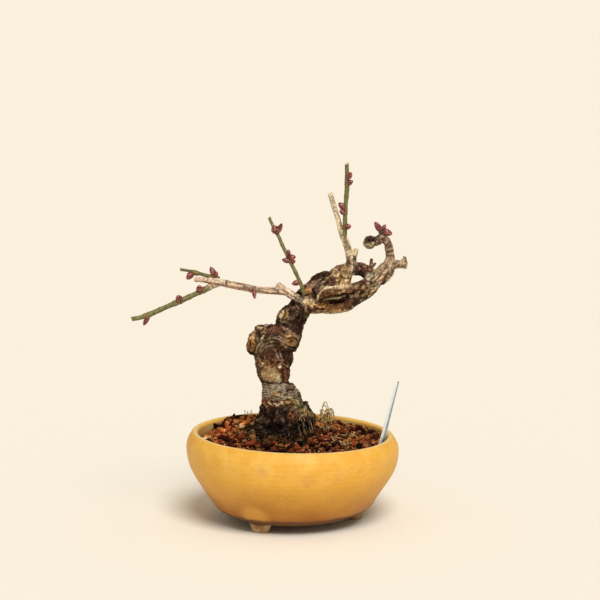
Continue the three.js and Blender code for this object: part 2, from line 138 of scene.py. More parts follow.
def layered(points, octaves, seed):
    """Noise with finer noise added to it, each layer twice as fine and half as high as the last."""
    layers = [noise(points * 2 ** i, seed + i) / 2 ** i for i in range(octaves)]
    return sum(layers) / (2 - 2 ** (1 - octaves))


def creased(points, octaves, seed):
    """Rounded lumps parted by sharp creases: the size of the noise, layer on layer, each twice as fine and
    half as strong as the last, from 0 in a crease to about 1."""
    layers = [np.abs(noise(points * 2 ** i, seed + i)) / 2 ** i for i in range(octaves)]
    return sum(layers) * 1.6 / (2 - 2 ** (1 - octaves))


def warped(points, size, seed):
    """Points moved aside by noise of the given size, by up to half of it along each axis."""
    return points + np.stack([noise(points / size, seed + i) for i in range(3)], axis=-1) * size / 2


# Surfaces

# The least radius of a line's stations, and the rings of a rounded end
THINNEST = 0.3
DOME_ROWS = 4


class Shell:
    """Points, the triangles between them, and named values at the points."""

    def __init__(self, points, faces, **marks):
        self.points = points
        self.faces = faces
        self.marks = marks

    def marked(self, **marks):
        """The same shell with one value for all its points under each name."""
        for name, value in marks.items():
            value = np.asarray(value, float)
            whole = value.ndim and len(value) == len(self.points)
            self.marks[name] = value if whole else np.tile(value, (len(self.points),) + (1,) * value.ndim)
        return self


def joined(shells):
    """Shells as one, with the marks that the first one has."""
    starts = np.cumsum([0] + [len(shell.points) for shell in shells[:-1]])
    points = np.concatenate([shell.points for shell in shells])
    faces = np.concatenate([shell.faces + start for shell, start in zip(shells, starts)])
    marks = {name: np.concatenate([shell.marks[name] for shell in shells]) for name in shells[0].marks}
    return Shell(points, faces, **marks)


def grid_faces(rows, sides, looped=False):
    """Two triangles to each cell of a grid that is closed round its sides, and along its rows if looped."""
    row = np.arange(rows if looped else rows - 1)[:, None]
    side = np.arange(sides)[None, :]
    above = (row + 1) % rows
    beside = (side + 1) % sides
    a, b, c, d = row * sides + side, row * sides + beside, above * sides + beside, above * sides + side
    return np.concatenate([np.stack(three, -1).reshape(-1, 3) for three in ((a, b, c), (a, c, d))])


def turns(sides):
    """The angles of evenly spaced sides, as one row."""
    return np.linspace(0, TAU, sides, endpoint=False)[None, :]


def spokes(angle):
    """Level directions (cos a, sin a, 0)."""
    return np.stack([np.cos(angle), np.sin(angle), 0 * angle], -1)


def closed(grid):
    """A shell from rings of points, closed at both ends by a fan to the middle of the ring."""
    rows, sides = grid.shape[:2]
    points = np.concatenate([grid.reshape(-1, 3), grid[[0, -1]].mean(axis=1)])
    side = np.arange(sides)
    beside = (side + 1) % sides
    first, last, top = rows * sides, rows * sides + 1, (rows - 1) * sides
    start = np.stack([np.full(sides, first), beside, side], -1)
    end = np.stack([np.full(sides, last), top + side, top + beside], -1)
    return Shell(points, np.concatenate([grid_faces(rows, sides), start, end]))


def along_stations(stations, steps):
    """A line through stations [x, y, z, radius] and its radii: each span is a cubic whose end slopes come
    from its neighbours, weighed by the square roots of the distances between them."""
    stations = np.asarray(stations, float)
    ends = np.vstack([2 * stations[0] - stations[1], stations, 2 * stations[-1] - stations[-2]])
    a, b, c, d = (ends[i:len(ends) - 3 + i, None] for i in range(4))
    before, span, after = (
        np.sqrt(np.linalg.norm((end - start)[..., :3], axis=-1, keepdims=True))
        for start, end in ((a, b), (b, c), (c, d))
    )
    leave = c - b + span * ((b - a) / before - (c - a) / (before + span))
    arrive = c - b + span * ((d - c) / after - (d - b) / (span + after))
    t = np.linspace(0, 1, steps, endpoint=False)[None, :, None]
    bend = 3 * (c - b) - 2 * leave - arrive
    line = b + leave * t + bend * t ** 2 + (2 * (b - c) + leave + arrive) * t ** 3
    line = np.vstack([line.reshape(-1, 4), stations[-1:]])
    return line[:, :3], np.maximum(line[:, 3], THINNEST)


def frames_along(line, first):
    """The direction of a line at each point, and two directions square to it: the first of them is the
    given one less its part along the line."""
    ahead = unit(np.gradient(line, axis=-2))
    first = np.asarray(first, float)
    side = unit(first - (ahead @ first)[..., None] * ahead)
    return ahead, side, np.cross(ahead, side)


def rings_along(line, radii, sides, first=(0, 1, 0), shape=1):
    """Rings round a line: line + radius * shape * (side * cos(angle) + across * sin(angle))."""
    _, side, across = frames_along(line, first)
    angle = turns(sides)[0]
    spoke = side[..., None, :] * np.cos(angle)[:, None] + across[..., None, :] * np.sin(angle)[:, None]
    return line[..., None, :] + spoke * (np.asarray(radii)[..., None] * shape)[..., None]


def rounded_end(line, radii):
    """The line and its radii with a half ball added at the end."""
    ahead = unit(line[-1] - line[-2])
    lift = np.sin(np.linspace(0, math.pi / 2, DOME_ROWS + 1)[1:])
    more = line[-1] + ahead * (radii[-1] * lift)[:, None]
    return np.vstack([line, more]), np.concatenate([radii, radii[-1] * np.sqrt(1.0001 - lift ** 2)])


def ball(cuts):
    """A ball of radius 1: an icosahedron whose triangles are each cut into four, cuts times over."""
    golden = (1 + math.sqrt(5)) / 2
    signs = itertools.product(range(3), (-1, 1), (-1, 1))
    points = np.array([np.roll([0, a, b * golden], turn) for turn, a, b in signs])
    triples = np.array(list(itertools.combinations(range(12), 3)))
    spans = np.linalg.norm(points[triples] - points[np.roll(triples, 1, axis=1)], axis=-1)
    faces = triples[spans.max(axis=1) < 2.1]
    inward = np.linalg.det(points[faces]) < 0
    faces[inward] = faces[inward][:, ::-1]
    points = unit(points)
    for _ in range(cuts):
        edges = np.sort(faces[:, [[0, 1], [1, 2], [2, 0]]].reshape(-1, 2), axis=1)
        edges, which = np.unique(edges, axis=0, return_inverse=True)
        ab, bc, ca = (len(points) + which.reshape(-1, 3)).T
        a, b, c = faces.T
        points = np.vstack([points, unit(points[edges].mean(axis=1))])
        faces = np.concatenate([
            np.stack(three, -1) for three in ((a, ab, ca), (ab, b, bc), (ca, bc, c), (ab, bc, ca))
        ])
    return points, faces


def copies(points, faces):
    """A shell from many like point sets of shape (count, points, 3) that share one set of triangles."""
    count, size = points.shape[:2]
    start = np.arange(count)[:, None, None] * size
    return Shell(points.reshape(-1, 3), (faces[None] + start).reshape(-1, 3))


def point_sums(values, faces, count):
    """For each point, the sum of the values of the triangles that meet there."""
    return np.stack([
        np.bincount(faces.ravel(), np.repeat(values[:, axis], 3), count) for axis in range(values.shape[1])
    ], axis=-1)


def normals_of(points, faces):
    """The direction out of the surface at each point: the mean of its triangles', by their areas."""
    a, b, c = (points[faces[:, i]] for i in range(3))
    return unit(point_sums(np.cross(b - a, c - a), faces, len(points)))


def smoothed(points, faces, times):
    """Points moved half way towards the mean middle of their triangles, over and over."""
    share = point_sums(np.ones((len(faces), 1)), faces, len(points))
    for _ in range(times):
        middles = points[faces].mean(axis=1)
        points = (points + point_sums(middles, faces, len(points)) / share) / 2
    return points


def mesh_from(name, points, faces):
    """A mesh of triangles."""
    mesh = bpy.data.meshes.new(name)
    mesh.vertices.add(len(points))
    mesh.vertices.foreach_set("co", np.asarray(points, np.float32).ravel())
    mesh.loops.add(faces.size)
    mesh.loops.foreach_set("vertex_index", faces.astype(np.int32).ravel())
    mesh.polygons.add(len(faces))
    mesh.polygons.foreach_set("loop_start", np.arange(0, faces.size, 3, dtype=np.int32))
    mesh.update(calc_edges=True)
    return mesh


def in_scene(name, data):
    """A new object in the scene, at its origin."""
    body = bpy.data.objects.new(name, data)
    bpy.context.scene.collection.objects.link(body)
    return body


def piece(name, shell, material, replaced=(), smooth=True):
    """A finished piece of the object from a shell: in place, on its body, with its marks as attributes."""
    mesh = mesh_from(name, placed(shell.points), shell.faces)
    for mark, values in shell.marks.items():
        kind, key = ("FLOAT_COLOR", "color") if values.ndim == 2 else ("FLOAT", "value")
        if values.ndim == 2:
            values = np.hstack([values, np.ones((len(values), 1))])
        layer = mesh.attributes.new(mark, kind, "POINT")
        layer.data.foreach_set(key, np.asarray(values, np.float32).ravel())
    mesh.polygons.foreach_set("use_smooth", np.full(len(shell.faces), smooth))
    mesh.materials.append(material)
    body = in_scene(name, mesh)
    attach(body, "root")
    if replaced:
        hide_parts(*replaced)
    return body


def fused(shell, voxel):
    """One even skin round closed shells that overlap, from a voxel remesh of them."""
    body = in_scene("fusing", mesh_from("fusing", shell.points, shell.faces))
    remesh = body.modifiers.new("remesh", "REMESH")
    remesh.mode = "VOXEL"
    remesh.voxel_size = voxel
    ready = body.evaluated_get(bpy.context.evaluated_depsgraph_get())
    mesh = ready.to_mesh()
    mesh.calc_loop_triangles()
    points = np.empty(len(mesh.vertices) * 3, np.float32)
    mesh.vertices.foreach_get("co", points)
    faces = np.empty(len(mesh.loop_triangles) * 3, np.int32)
    mesh.loop_triangles.foreach_get("vertices", faces)
    ready.to_mesh_clear()
    bpy.data.objects.remove(body)
    return points.reshape(-1, 3).astype(float), faces.reshape(-1, 3)


# Shader maths

class Signal:
    """A shader socket on which Python's operators work: each one adds a Math node."""

    def __init__(self, shader, socket):
        self.shader = shader
        self.socket = socket

    def __add__(self, other):
        return self.shader.math("ADD", self, other)

    def __sub__(self, other):
        return self.shader.math("SUBTRACT", self, other)

    def __rsub__(self, other):
        return self.shader.math("SUBTRACT", other, self)

    def __mul__(self, other):
        return self.shader.math("MULTIPLY", self, other)

    __radd__ = __add__
    __rmul__ = __mul__


class Finish:
    """A material that is written as expressions on its signals. Sizes are millimetres, and a colour is a
    signal, three linear numbers or six hexadecimal digits."""

    def __init__(self, name):
        self.material = bpy.data.materials.new(name)
        self.material.use_nodes = True
        self.tree = self.material.node_tree
        self.shader = self.tree.nodes["Principled BSDF"]

    def node(self, kind, settings, inputs, output=0):
        """Adds a node, first its settings, then the values or links of its sockets, and returns its
        output."""
        node = self.tree.nodes.new("ShaderNode" + kind)
        for name, value in settings.items():
            setattr(node, name, value)
        for name, value in inputs.items():
            self.feed(node.inputs[name], value)
        return Signal(self, node.outputs[output])

    def feed(self, socket, value):
        """Links a signal to a socket, or sets a plain value on it."""
        if isinstance(value, Signal):
            self.tree.links.new(value.socket, socket)
            return
        if isinstance(value, str):
            value = linear(value)
        whole = socket.type != "RGBA" or len(value) == 4
        socket.default_value = value if whole else (*value, 1)

    def math(self, operation, *terms):
        """The result of a Math node on one or two terms."""
        return self.node("Math", {"operation": operation}, dict(enumerate(terms)))

    def place(self, stretch=(1, 1, 1)):
        """The object's own coordinates in millimetres, each axis multiplied by its stretch."""
        spot = self.node("TexCoord", {}, {}, "Object")
        scale = tuple(value / MM for value in stretch)
        return self.node("VectorMath", {"operation": "MULTIPLY"}, {0: spot, 1: scale})

    def noise(self, size, detail, where=None, rough=0.55):
        """Soft noise from 0 to 1, with lumps of about the given size."""
        inputs = {"Vector": where or self.place(), "Scale": 1 / size, "Detail": detail, "Roughness": rough}
        return self.node("TexNoise", {}, inputs, "Fac")

    def cells(self, size, feature="F1", where=None):
        """The distance from the middles, or the edges, of cells of about the given size."""
        inputs = {"Vector": where or self.place(), "Scale": 1 / size}
        return self.node("TexVoronoi", {"feature": feature}, inputs, "Distance")

    def height(self):
        """Height above the table in millimetres."""
        return self.node("SeparateXYZ", {}, {0: self.place()}, "Z")

    def mark(self, name, output="Fac"):
        """What the surface's own points carry under a name."""
        return self.node("Attribute", {"attribute_name": name}, {}, output)

    def eased(self, value, low, high):
        """0 where the signal is below low, 1 where it is above high, and a smooth S between."""
        inputs = {"Value": value, "From Min": low, "From Max": high}
        return self.node("MapRange", {"interpolation_type": "SMOOTHSTEP"}, inputs)

    def near(self, point, radius):
        """1 at a point given in millimetres about the bowl's axis, and 0 from the radius outwards."""
        offset = {0: self.place(), 1: tuple(np.asarray(point, float) + AXIS)}
        reach = self.node("VectorMath", {"operation": "DISTANCE"}, offset, "Value")
        return 1 - self.eased(reach, radius * 0.4, radius)

    def near_any(self, spots):
        """The sum of near over points and radii."""
        return sum(self.near(*spot) for spot in spots)

    def mix(self, below, above, share):
        """The way from one colour to another, by a share from 0 to 1."""
        return self.node("Mix", {"data_type": "RGBA"}, {0: share, 6: below, 7: above}, 2)

    def patched(self, below, above, size, detail, limits, strength):
        """A colour with another over it in patches, where noise rises from one limit to the other."""
        return self.mix(below, above, self.eased(self.noise(size, detail), *limits) * strength)

    def ramp(self, value, stops):
        """The colour at a value, between stops of place and colour."""
        node = self.tree.nodes.new("ShaderNodeValToRGB")
        bar = node.color_ramp.elements
        for place, _ in stops[1:-1]:
            bar.new(place)
        for element, (place, colour) in zip(bar, stops):
            element.position = place
            element.color = (*linear(colour), 1)
        self.feed(node.inputs["Fac"], value)
        return Signal(self, node.outputs["Color"])

    def tinted(self, colour, factor):
        """A colour made lighter or darker by a signal round 1."""
        return self.node("VectorMath", {"operation": "SCALE"}, {0: colour, "Scale": factor})

    def bump(self, height, depth):
        """A normal from heights between 0 and 1 that stand for the given depth."""
        return self.node("Bump", {}, {"Height": height, "Distance": depth * MM, "Strength": 1})

    def finish(self, **sockets):
        """Sets the surface's sockets, named with underscores for spaces, and returns the material."""
        for name, value in sockets.items():
            self.feed(self.shader.inputs[name.replace("_", " ")], value)
        return self.material


# The bowl

OUTER_WALL = [
    (45.5, FOOT_HEIGHT), (53.6, 9.9), (58.4, 15.9), (65.1, 25.9), (71.1, 35.9), (73.6, 42),
    (BOWL_RADIUS, RIM_HEIGHT - 11.4), (74.2, 57), (71.6, RIM_HEIGHT - 1.6),
]
INNER_WALL = [(66.6, 61.5), (67, 56.9), (68.2, 51.4), (67, 42), (60, 26), (51.5, 15.5), (44, FLOOR)]
LIP = {"radius": 69.1, "height": RIM_HEIGHT - 2.1, "half_width": 2.5, "half_height": 2.1}
FEET = {
    "azimuths": np.radians([-120, 0, 120]),
    "radius": 44,
    "levels": [(0, 5.6, 4.6), (1, 6.2, 5), (FOOT_HEIGHT - 1.5, 7.6, 5.6), (FOOT_HEIGHT + 2, 9.4, 6)],
}
BULGE = {"lift": 1.5, "radius": 52, "half_width": 11, "level": 12, "half_height": 5}
BOWL_SIDES = 288
FOOT_SIDES = 40
RIM_LEAN = {"drop": 0.9, "slope": 0.027}
OUTSIDE, ON_LIP, INSIDE, UNDER = range(4)

# Marks in the glaze, and how high and how wavy its lower end is
GLAZE_END = {"height": 10.9, "wave": 2.4}
# A pool of painted light on the wall above the front left foot
PAINTED_SHEEN = ((-25, -50, 15), 14)
SMUDGES = [((11, -73, 44), 7), ((31, -66, 44), 6), ((-20, -70, 50), 6)]
PITS = [((22, -48, 22), 1.2), ((36, -41.5, 17.5), 1.3)]


def sink(x, z):
    """How far a point of the wall sinks, from none at the floor: the rim stands lower at the right."""
    share = np.clip((z - FLOOR) / (RIM_HEIGHT - FLOOR), 0, 1)
    return share * (RIM_LEAN["drop"] + RIM_LEAN["slope"] * x)


def outline(points, steps):
    """A smooth line through points of radius and height."""
    line, _ = along_stations([(radius, 0, height, 1) for radius, height in points], steps)
    return line[:, [0, 2]]


def bowl_outline():
    """The wall's section as one closed loop: up the outside, over the lip, down the inside to the drain
    hole and back along the underside, and which of these parts each point belongs to."""
    turn = np.linspace(0.08, 0.94, 16) * math.pi
    lip = np.stack([
        LIP["radius"] + LIP["half_width"] * np.cos(turn), LIP["height"] + LIP["half_height"] * np.sin(turn)
    ], -1)
    inner = outline(INNER_WALL, 10)
    floor = [(r, FLOOR) for r in (36, 24, 14, 9)]
    hole = [(DRAIN_RADIUS, FLOOR - 0.6), (DRAIN_RADIUS, FOOT_HEIGHT + 0.6), (9, FOOT_HEIGHT)]
    under = [(r, FOOT_HEIGHT + 0.3) for r in (16, 26, 36, 42)]
    parts = [outline(OUTER_WALL, 12), lip, inner, np.array(floor + hole + under)]
    kinds = np.repeat(np.arange(4), [len(part) for part in parts])
    return np.concatenate(parts), kinds


def bowl_wall():
    """The outline carried round the axis, (r cos a, r sin a, z), a hand-made shade out of round, with faint
    rings from the potter's wheel and a soft bulge of the wall above each foot."""
    section, kinds = bowl_outline()
    angle = turns(BOWL_SIDES)
    radius, z = (section[:, i][:, None] for i in range(2))
    outside = (kinds == OUTSIDE)[:, None]
    out = 1 + 0.0016 * np.sin(2 * angle + 0.7) + 0.0011 * np.sin(3 * angle + 2 + z * 0.05)
    wheel_rings = 0.05 * np.sin(z * 1.7 + 1.5 * np.sin(angle * 2)) * outside
    above = (z - BULGE["level"]) / BULGE["half_height"]
    bulge = 0
    for azimuth in FEET["azimuths"]:
        across = np.angle(np.exp(1j * (angle - azimuth))) * BULGE["radius"] / BULGE["half_width"]
        bulge = bulge + BULGE["lift"] * np.exp(-across ** 2 - above ** 2) * outside
    reach = radius * out + wheel_rings + bulge
    x = reach * np.cos(angle)
    grid = np.stack([x, reach * np.sin(angle), z - sink(x, z)], -1)
    lip = np.zeros(len(section))
    lip[kinds == ON_LIP] = np.sin(np.linspace(0, math.pi, (kinds == ON_LIP).sum()))
    shares = {"lip": lip, "inside": (kinds == INSIDE) * 1.0, "bare": (kinds == UNDER) * 1.0}
    shell = Shell(grid.reshape(-1, 3), grid_faces(len(section), BOWL_SIDES, looped=True)[:, ::-1])
    return shell.marked(**{name: np.repeat(share, BOWL_SIDES) for name, share in shares.items()})


def foot(azimuth):
    """A foot: a wavy oval (d cos t, w sin t) at each level, of half width w and half depth d, at the feet's
    radius and turned to the azimuth. The levels are joined by a curve."""
    levels, _ = along_stations([(*level, 1) for level in FEET["levels"]], 6)
    angle = turns(FOOT_SIDES)
    z, across, deep = (levels[:, i][:, None] for i in range(3))
    wave = 1 + 0.03 * np.sin(3 * angle + azimuth) + 0.02 * np.sin(5 * angle + 1)
    outward = FEET["radius"] + deep * np.cos(angle) * wave
    aside = across * np.sin(angle) * wave
    cos, sin = math.cos(azimuth), math.sin(azimuth)
    grid = np.stack([outward * cos - aside * sin, outward * sin + aside * cos, z + 0 * angle], -1)
    return closed(grid).marked(lip=0, inside=0, bare=1)


def glaze(look):
    """Amber glaze: mottled, darker and browner low down and paler in clouds on the shoulder, partly as
    painted shade and painted light, finely speckled below the shoulder, thin and pale over the lip with a
    painted highlight along it, paler inside as painted light against the lip's shade, with a painted sheen,
    smudges, dark dots, two pits and a faint crackle. It ends in a wavy, burnt line above the bare clay,
    which is painted darker as shade above the feet's tops."""
    f = Finish("amber_glaze")
    z = f.height()
    mottle = f.noise(1.5, 3)
    clouds = f.eased(f.noise(11, 4), 0.35, 0.7)
    # Darker low on the wall and paler in clouds on the shoulder: partly the glaze pooling, partly painted
    # shade low down and painted light above
    colour = f.mix(look.shaded_deep_glaze, look.glaze, f.eased(z + f.noise(38, 2) * 24, 14, 56))
    colour = f.mix(colour, look.pale_glaze, clouds * f.eased(z, 30, 56) * 0.45)
    # Painted light: a paler patch above the front left foot
    colour = f.mix(colour, "ecb04c", f.near(*PAINTED_SHEEN) * 0.5)
    brushed = f.noise(4, 3, f.place((0.5, 0.5, 1.2)))
    low_down = f.eased(z, 44, 34)
    speckle = f.eased(f.noise(0.85, 2), 0.35, 0.65) * low_down
    colour = f.tinted(colour, 0.8 + mottle * 0.26 + brushed * 0.14 + speckle * 0.1 - low_down * 0.05)
    colour = f.patched(colour, "c98a5c", 5, 3, (0.4, 0.6), f.near_any(SMUDGES) * 0.3)
    # Pale over the lip: partly the thin glaze, partly a painted highlight along the lip
    colour = f.mix(colour, look.rim_glaze_and_highlight, f.eased(f.mark("lip") + mottle * 0.25, 0.75, 1.15) * 0.75)
    # Painted light: the inside wall is paler than the outside glaze, against the shade under the lip
    inside = f.mark("inside")
    colour = f.mix(colour, look.lit_inside_glaze, f.eased(inside, 0.2, 0.8) * 0.8)
    crackle = 1 - f.eased(f.cells(5, "DISTANCE_TO_EDGE", f.place((1, 1, 1.2))), 0.0, 0.03)
    colour = f.tinted(colour, 1 - crackle * 0.07)
    dots = (1 - f.eased(f.cells(3.2), 0.05, 0.12)) * f.eased(f.noise(20, 1), 0.5, 0.62)
    colour = f.mix(colour, "6b3f12", dots * 0.45 + f.near_any(PITS) * 0.8)
    outer = 1 - f.eased(inside, 0.4, 0.6)
    above_end = z - (GLAZE_END["height"] + (f.noise(9, 2) - 0.5) * GLAZE_END["wave"])
    bare = f.math("MAXIMUM", f.mark("bare"), 1 - f.eased(above_end, -0.25, 0.25)) * outer
    colour = f.mix(colour, "7a4a24", (1 - f.eased(above_end, 0.2, 2.2)) * outer * 0.6)
    clay = f.patched(look.clay, "8c6a44", 5, 4, (0.35, 0.7), 1)
    # Painted shade: the bare clay darkens above about 6 mm, over the feet's tops and the band under the
    # bowl's belly
    clay = f.mix(clay, "6b4726", f.eased(z, 5.4, 6.6))
    clay = f.mix(clay, "a98f6c", 1 - f.eased(z + f.noise(3, 2), 0.9, 1.7))
    skin = mottle * 0.6 + crackle * -0.25 + f.noise(0.5, 2) * 0.2
    return f.finish(
        Base_Color=f.mix(colour, clay, bare), Roughness=0.46 + mottle * 0.14 + bare * 0.35,
        Coat_Weight=0.06 - bare * 0.06, Normal=f.bump(skin, 0.16), Coat_Roughness=0.3,
        Specular_IOR_Level=0.3,
    )


def screen_plastic():
    """Dull dark green plastic net."""
    f = Finish("net_plastic")
    grime = f.noise(2, 3)
    colour = f.mix("343b33", "4d463a", f.eased(grime, 0.45, 0.75))
    return f.finish(Base_Color=colour, Roughness=0.5 + grime * 0.2, Normal=f.bump(grime, 0.1))


# The soil

SOIL_LEVEL = 57.0
MOUND = {"x": -7, "radius": 58, "height": 12}
BACK_RISE = 2.5
HEAP = {"x": -45, "y": 42, "spread": 13, "height": 3.8}
DIP = {"x": -63, "y": 18, "spread": 20, "depth": 2.8}
TRUNK_FOOT = {"x": -7, "radius": 19}
HUMUS = {"x": -9, "y": -10, "across": 26, "deep": 31}

# The bed, and the room that it leaves for the drain screen
SCREEN_ROOM = {"radius": 12.5, "top": 12.8}
BED_REACH = 66.6
BED_RINGS = 76
BED_SIDES = 200

# How far out the middles and the rims of the grains may lie, and the middles of the crumbs
REACH = {"grains": 66.4, "rims": 67.2, "crumbs": 66}

# How far apart the rows of places are and how far a place strays, as shares of the spacing
ROW_STEP = 0.866
STRAYING = 0.42

# Sprinklings of grains: spacing, least and greatest size, the share of its size that a grain is sunk, rings
# of its lump, and the shares of the places that are taken at the left and at the right
SPRINKLINGS = [
    (5.4, 4.6, 7.4, 0.2, 4, 0.85, 0.12), (4.3, 3.2, 5.6, 0.2, 4, 0.35, 0.75),
    (3.0, 2.2, 3.6, 0.3, 4, 0.6, 0.85), (2.0, 1.2, 2.2, 0.3, 2, 0.7, 0.7),
]

# Colours of the grains by their tone, and the middle of the part of the soil at the left that is painted
# brighter, as painted light
CLAY_TONES = [
    (0.0, "1b0d08"), (0.16, "401710"), (0.32, "6c2c1c"), (0.44, "a8562a"), (0.56, "74542a"),
    (0.68, "c07038"), (0.79, "8a3e30"), (0.89, "d88c40"), (0.96, "a87c4c"), (1.0, "f0cc9c"),
]
LIT_LEFT_PART = (-50, 5, 60)

# Seeds of the random draws
SEEDS = {"grains": 7, "crumbs": 3, "tufts": 21, "hairs": 33, "moss": 5}


def draws(name):
    """A new row of random draws, the same each time."""
    return np.random.default_rng(SEEDS[name])


def soil_top(x, y):
    """The bed's height: a mound round the trunk, a rise towards the back, a heap at the back left and a dip
    by the wall at the left."""
    outward = np.hypot(x - MOUND["x"], y) / MOUND["radius"]
    heap = np.exp(-((x - HEAP["x"]) ** 2 + (y - HEAP["y"]) ** 2) / HEAP["spread"] ** 2)
    mound = MOUND["height"] * np.clip(1 - outward ** 1.3, 0, None)
    dip = np.exp(-((x - DIP["x"]) ** 2 + (y - DIP["y"]) ** 2) / DIP["spread"] ** 2)
    level = SOIL_LEVEL + mound + BACK_RISE * eased(-10, 60, y) + HEAP["height"] * heap - DIP["depth"] * dip
    return level - sink(x, level)


def humus_at(x, y):
    """1 where dark humus and moss cover the clay, round the trunk and in front of it, and 0 outside."""
    points = np.stack([x, y, 0 * x], -1)
    reach = np.hypot((x - HUMUS["x"]) / HUMUS["across"], (y - HUMUS["y"]) / HUMUS["deep"])
    return 1 - eased(0.78, 1.12, reach + 0.28 * layered(points / 9, 3, 5))


def soil_bed():
    """The bed as one closed surface of rings (r cos a, r sin a, z): from the middle out over the top, down
    the wall and back in under the bed, round the drain screen."""
    angle = turns(BED_SIDES)
    wall = outline(INNER_WALL, 8)
    wall[:, 0] -= GAP
    wall[:, 1] += GAP / 4
    out = np.linspace(0.5, BED_REACH, BED_RINGS)[:, None] + 0 * angle
    x, y = out * np.cos(angle), out * np.sin(angle)
    points = np.stack([x, y, 0 * x], -1)
    top = soil_top(x, y) - 1.6 + 1.1 * layered(points / 3, 3, 11)
    low = wall[wall[:, 1] < top[-1].min() - 1.5]
    room, top_of_room = SCREEN_ROOM["radius"], SCREEN_ROOM["top"]
    side = np.concatenate([low, [(room, FLOOR + GAP), (room - 0.1, top_of_room), (0.5, top_of_room)]])
    radius = np.vstack([out, side[:, :1] + 0 * angle])
    side_z = side[:, 1:] - sink(side[:, :1] * np.cos(angle), side[:, 1:])
    z = np.vstack([top, side_z])
    grid = np.stack([radius * np.cos(angle), radius * np.sin(angle), z], -1)
    shell = closed(grid)
    shell.faces = shell.faces[:, ::-1]
    dark = humus_at(shell.points[:, 0], shell.points[:, 1])
    return shell.marked(humus=dark)


def sprinkled(spacing, reach, rng):
    """Places on a six-sided grid inside a circle, each moved aside at random."""
    steps = np.arange(-math.ceil(reach / spacing) - 1, math.ceil(reach / spacing) + 2)
    column, row = (values.ravel() for values in np.meshgrid(steps, steps))
    x = (column + 0.5 * (row % 2)) * spacing
    y = row * spacing * ROW_STEP
    x = x + rng.uniform(-STRAYING, STRAYING, len(x)) * spacing
    y = y + rng.uniform(-STRAYING, STRAYING, len(x)) * spacing
    inside = np.hypot(x, y) < reach
    return x[inside], y[inside]


def turned_at_random(count, rng):
    """One turn matrix for each of count things, from random quaternions."""
    w, x, y, z = unit(rng.normal(size=(count, 4))).T
    rows = [
        [1 - 2 * (y * y + z * z), 2 * (x * y - z * w), 2 * (x * z + y * w)],
        [2 * (x * y + z * w), 1 - 2 * (x * x + z * z), 2 * (y * z - x * w)],
        [2 * (x * z - y * w), 2 * (y * z + x * w), 1 - 2 * (x * x + y * y)],
    ]
    return np.moveaxis(np.array(rows), 2, 0)


def lump_grid(rings, sides):
    """A coarse ball: rings of points, each turned by half a side against the last, and a pole at each
    end."""
    height = np.linspace(-1, 1, rings + 2)[1:-1, None] * 0.92
    angle = (np.arange(sides)[None, :] + 0.5 * np.arange(rings)[:, None]) * TAU / sides
    girth = np.sqrt(1 - height ** 2)
    shell = closed(np.stack([girth * np.cos(angle), girth * np.sin(angle), height + 0 * angle], -1))
    shell.points[-2:] = [(0, 0, -1), (0, 0, 1)]
    return shell.points, shell.faces


def grain_shapes(count, rings, rng):
    """Broken lumps of radius about 1: coarse balls flattened by a few random planes and a little rough."""
    points, faces = lump_grid(rings, rings + 2)
    shapes = np.repeat(points[None], count, axis=0)
    for _ in range(9):
        facing = unit(rng.normal(size=(count, 1, 3)))
        plane = rng.uniform(0.5, 0.8, (count, 1, 1))
        beyond = np.clip((shapes * facing).sum(-1, keepdims=True) - plane, 0, 1)
        shapes = shapes - beyond * facing
    rough = 1 + 0.14 * noise(shapes * 2.3 + np.arange(count)[:, None, None] * 7.1, 3)
    return shapes * rough[..., None], faces


def grains(x, y, sizes, sunk, rings, rng):
    """Lumps of the given sizes at places on the bed, each turned and stretched at random, sunk by a share
    of its size, with a random tone and the humus of its place."""
    shapes, faces = grain_shapes(24, rings, rng)
    count = len(x)
    which = rng.integers(0, len(shapes), count)
    stretch = rng.uniform(0.62, 1.25, (count, 1, 3)) * sizes[:, None, None] / 2
    points = (shapes[which] * stretch) @ turned_at_random(count, rng)
    middle = np.stack([x, y, soil_top(x, y) - 1.2 + (0.5 - sunk) * sizes], -1)
    shell = copies(points + middle[:, None], faces)
    size = shapes.shape[1]
    tone = np.repeat(rng.uniform(0, 1, count), size)
    # How high on its grain each point lies: the finish paints shade on the low side by it
    rise = (points[..., 2] / (sizes[:, None] / 2)).ravel()
    return shell.marked(tone=tone, humus=np.repeat(humus_at(x, y), size), rise=rise)


def clear_of_trunk(x, y, room):
    """Whether places lie further from the trunk's foot than the room asked for."""
    return np.hypot(x - TRUNK_FOOT["x"], y) > TRUNK_FOOT["radius"] + room


def clay_grains(look):
    """Four sprinklings of grains: coarse ones, most of them at the left, large ones, middling ones between
    them and fine ones in the chinks."""
    rng = draws("grains")
    layers = []
    for spacing, low, high, sunk, rings, at_left, at_right in SPRINKLINGS:
        x, y = sprinkled(spacing * look.grain_size, REACH["grains"], rng)
        sizes = rng.uniform(low, high, len(x)) * look.grain_size
        inside = np.hypot(x, y) + sizes / 2 < REACH["rims"]
        bare = 1 - humus_at(x, y) * rng.uniform(0.4, 1.2, len(x)) > 0.25
        share = np.interp(x, (-30, 5), (at_left, at_right))
        keep = inside & bare & (rng.uniform(0, 1, len(x)) < share) & clear_of_trunk(x, y, 0)
        layers.append(grains(x[keep], y[keep], sizes[keep], sunk, rings, rng))
    return joined(layers)


def humus_crumbs():
    """Fine dark crumbs over the humus."""
    rng = draws("crumbs")
    x, y = sprinkled(1.75, REACH["crumbs"], rng)
    keep = (humus_at(x, y) > rng.uniform(0.2, 0.7, len(x))) & clear_of_trunk(x, y, -3)
    x, y = x[keep], y[keep]
    return grains(x, y, rng.uniform(1.2, 3.2, len(x)), 0.1, 2, rng)


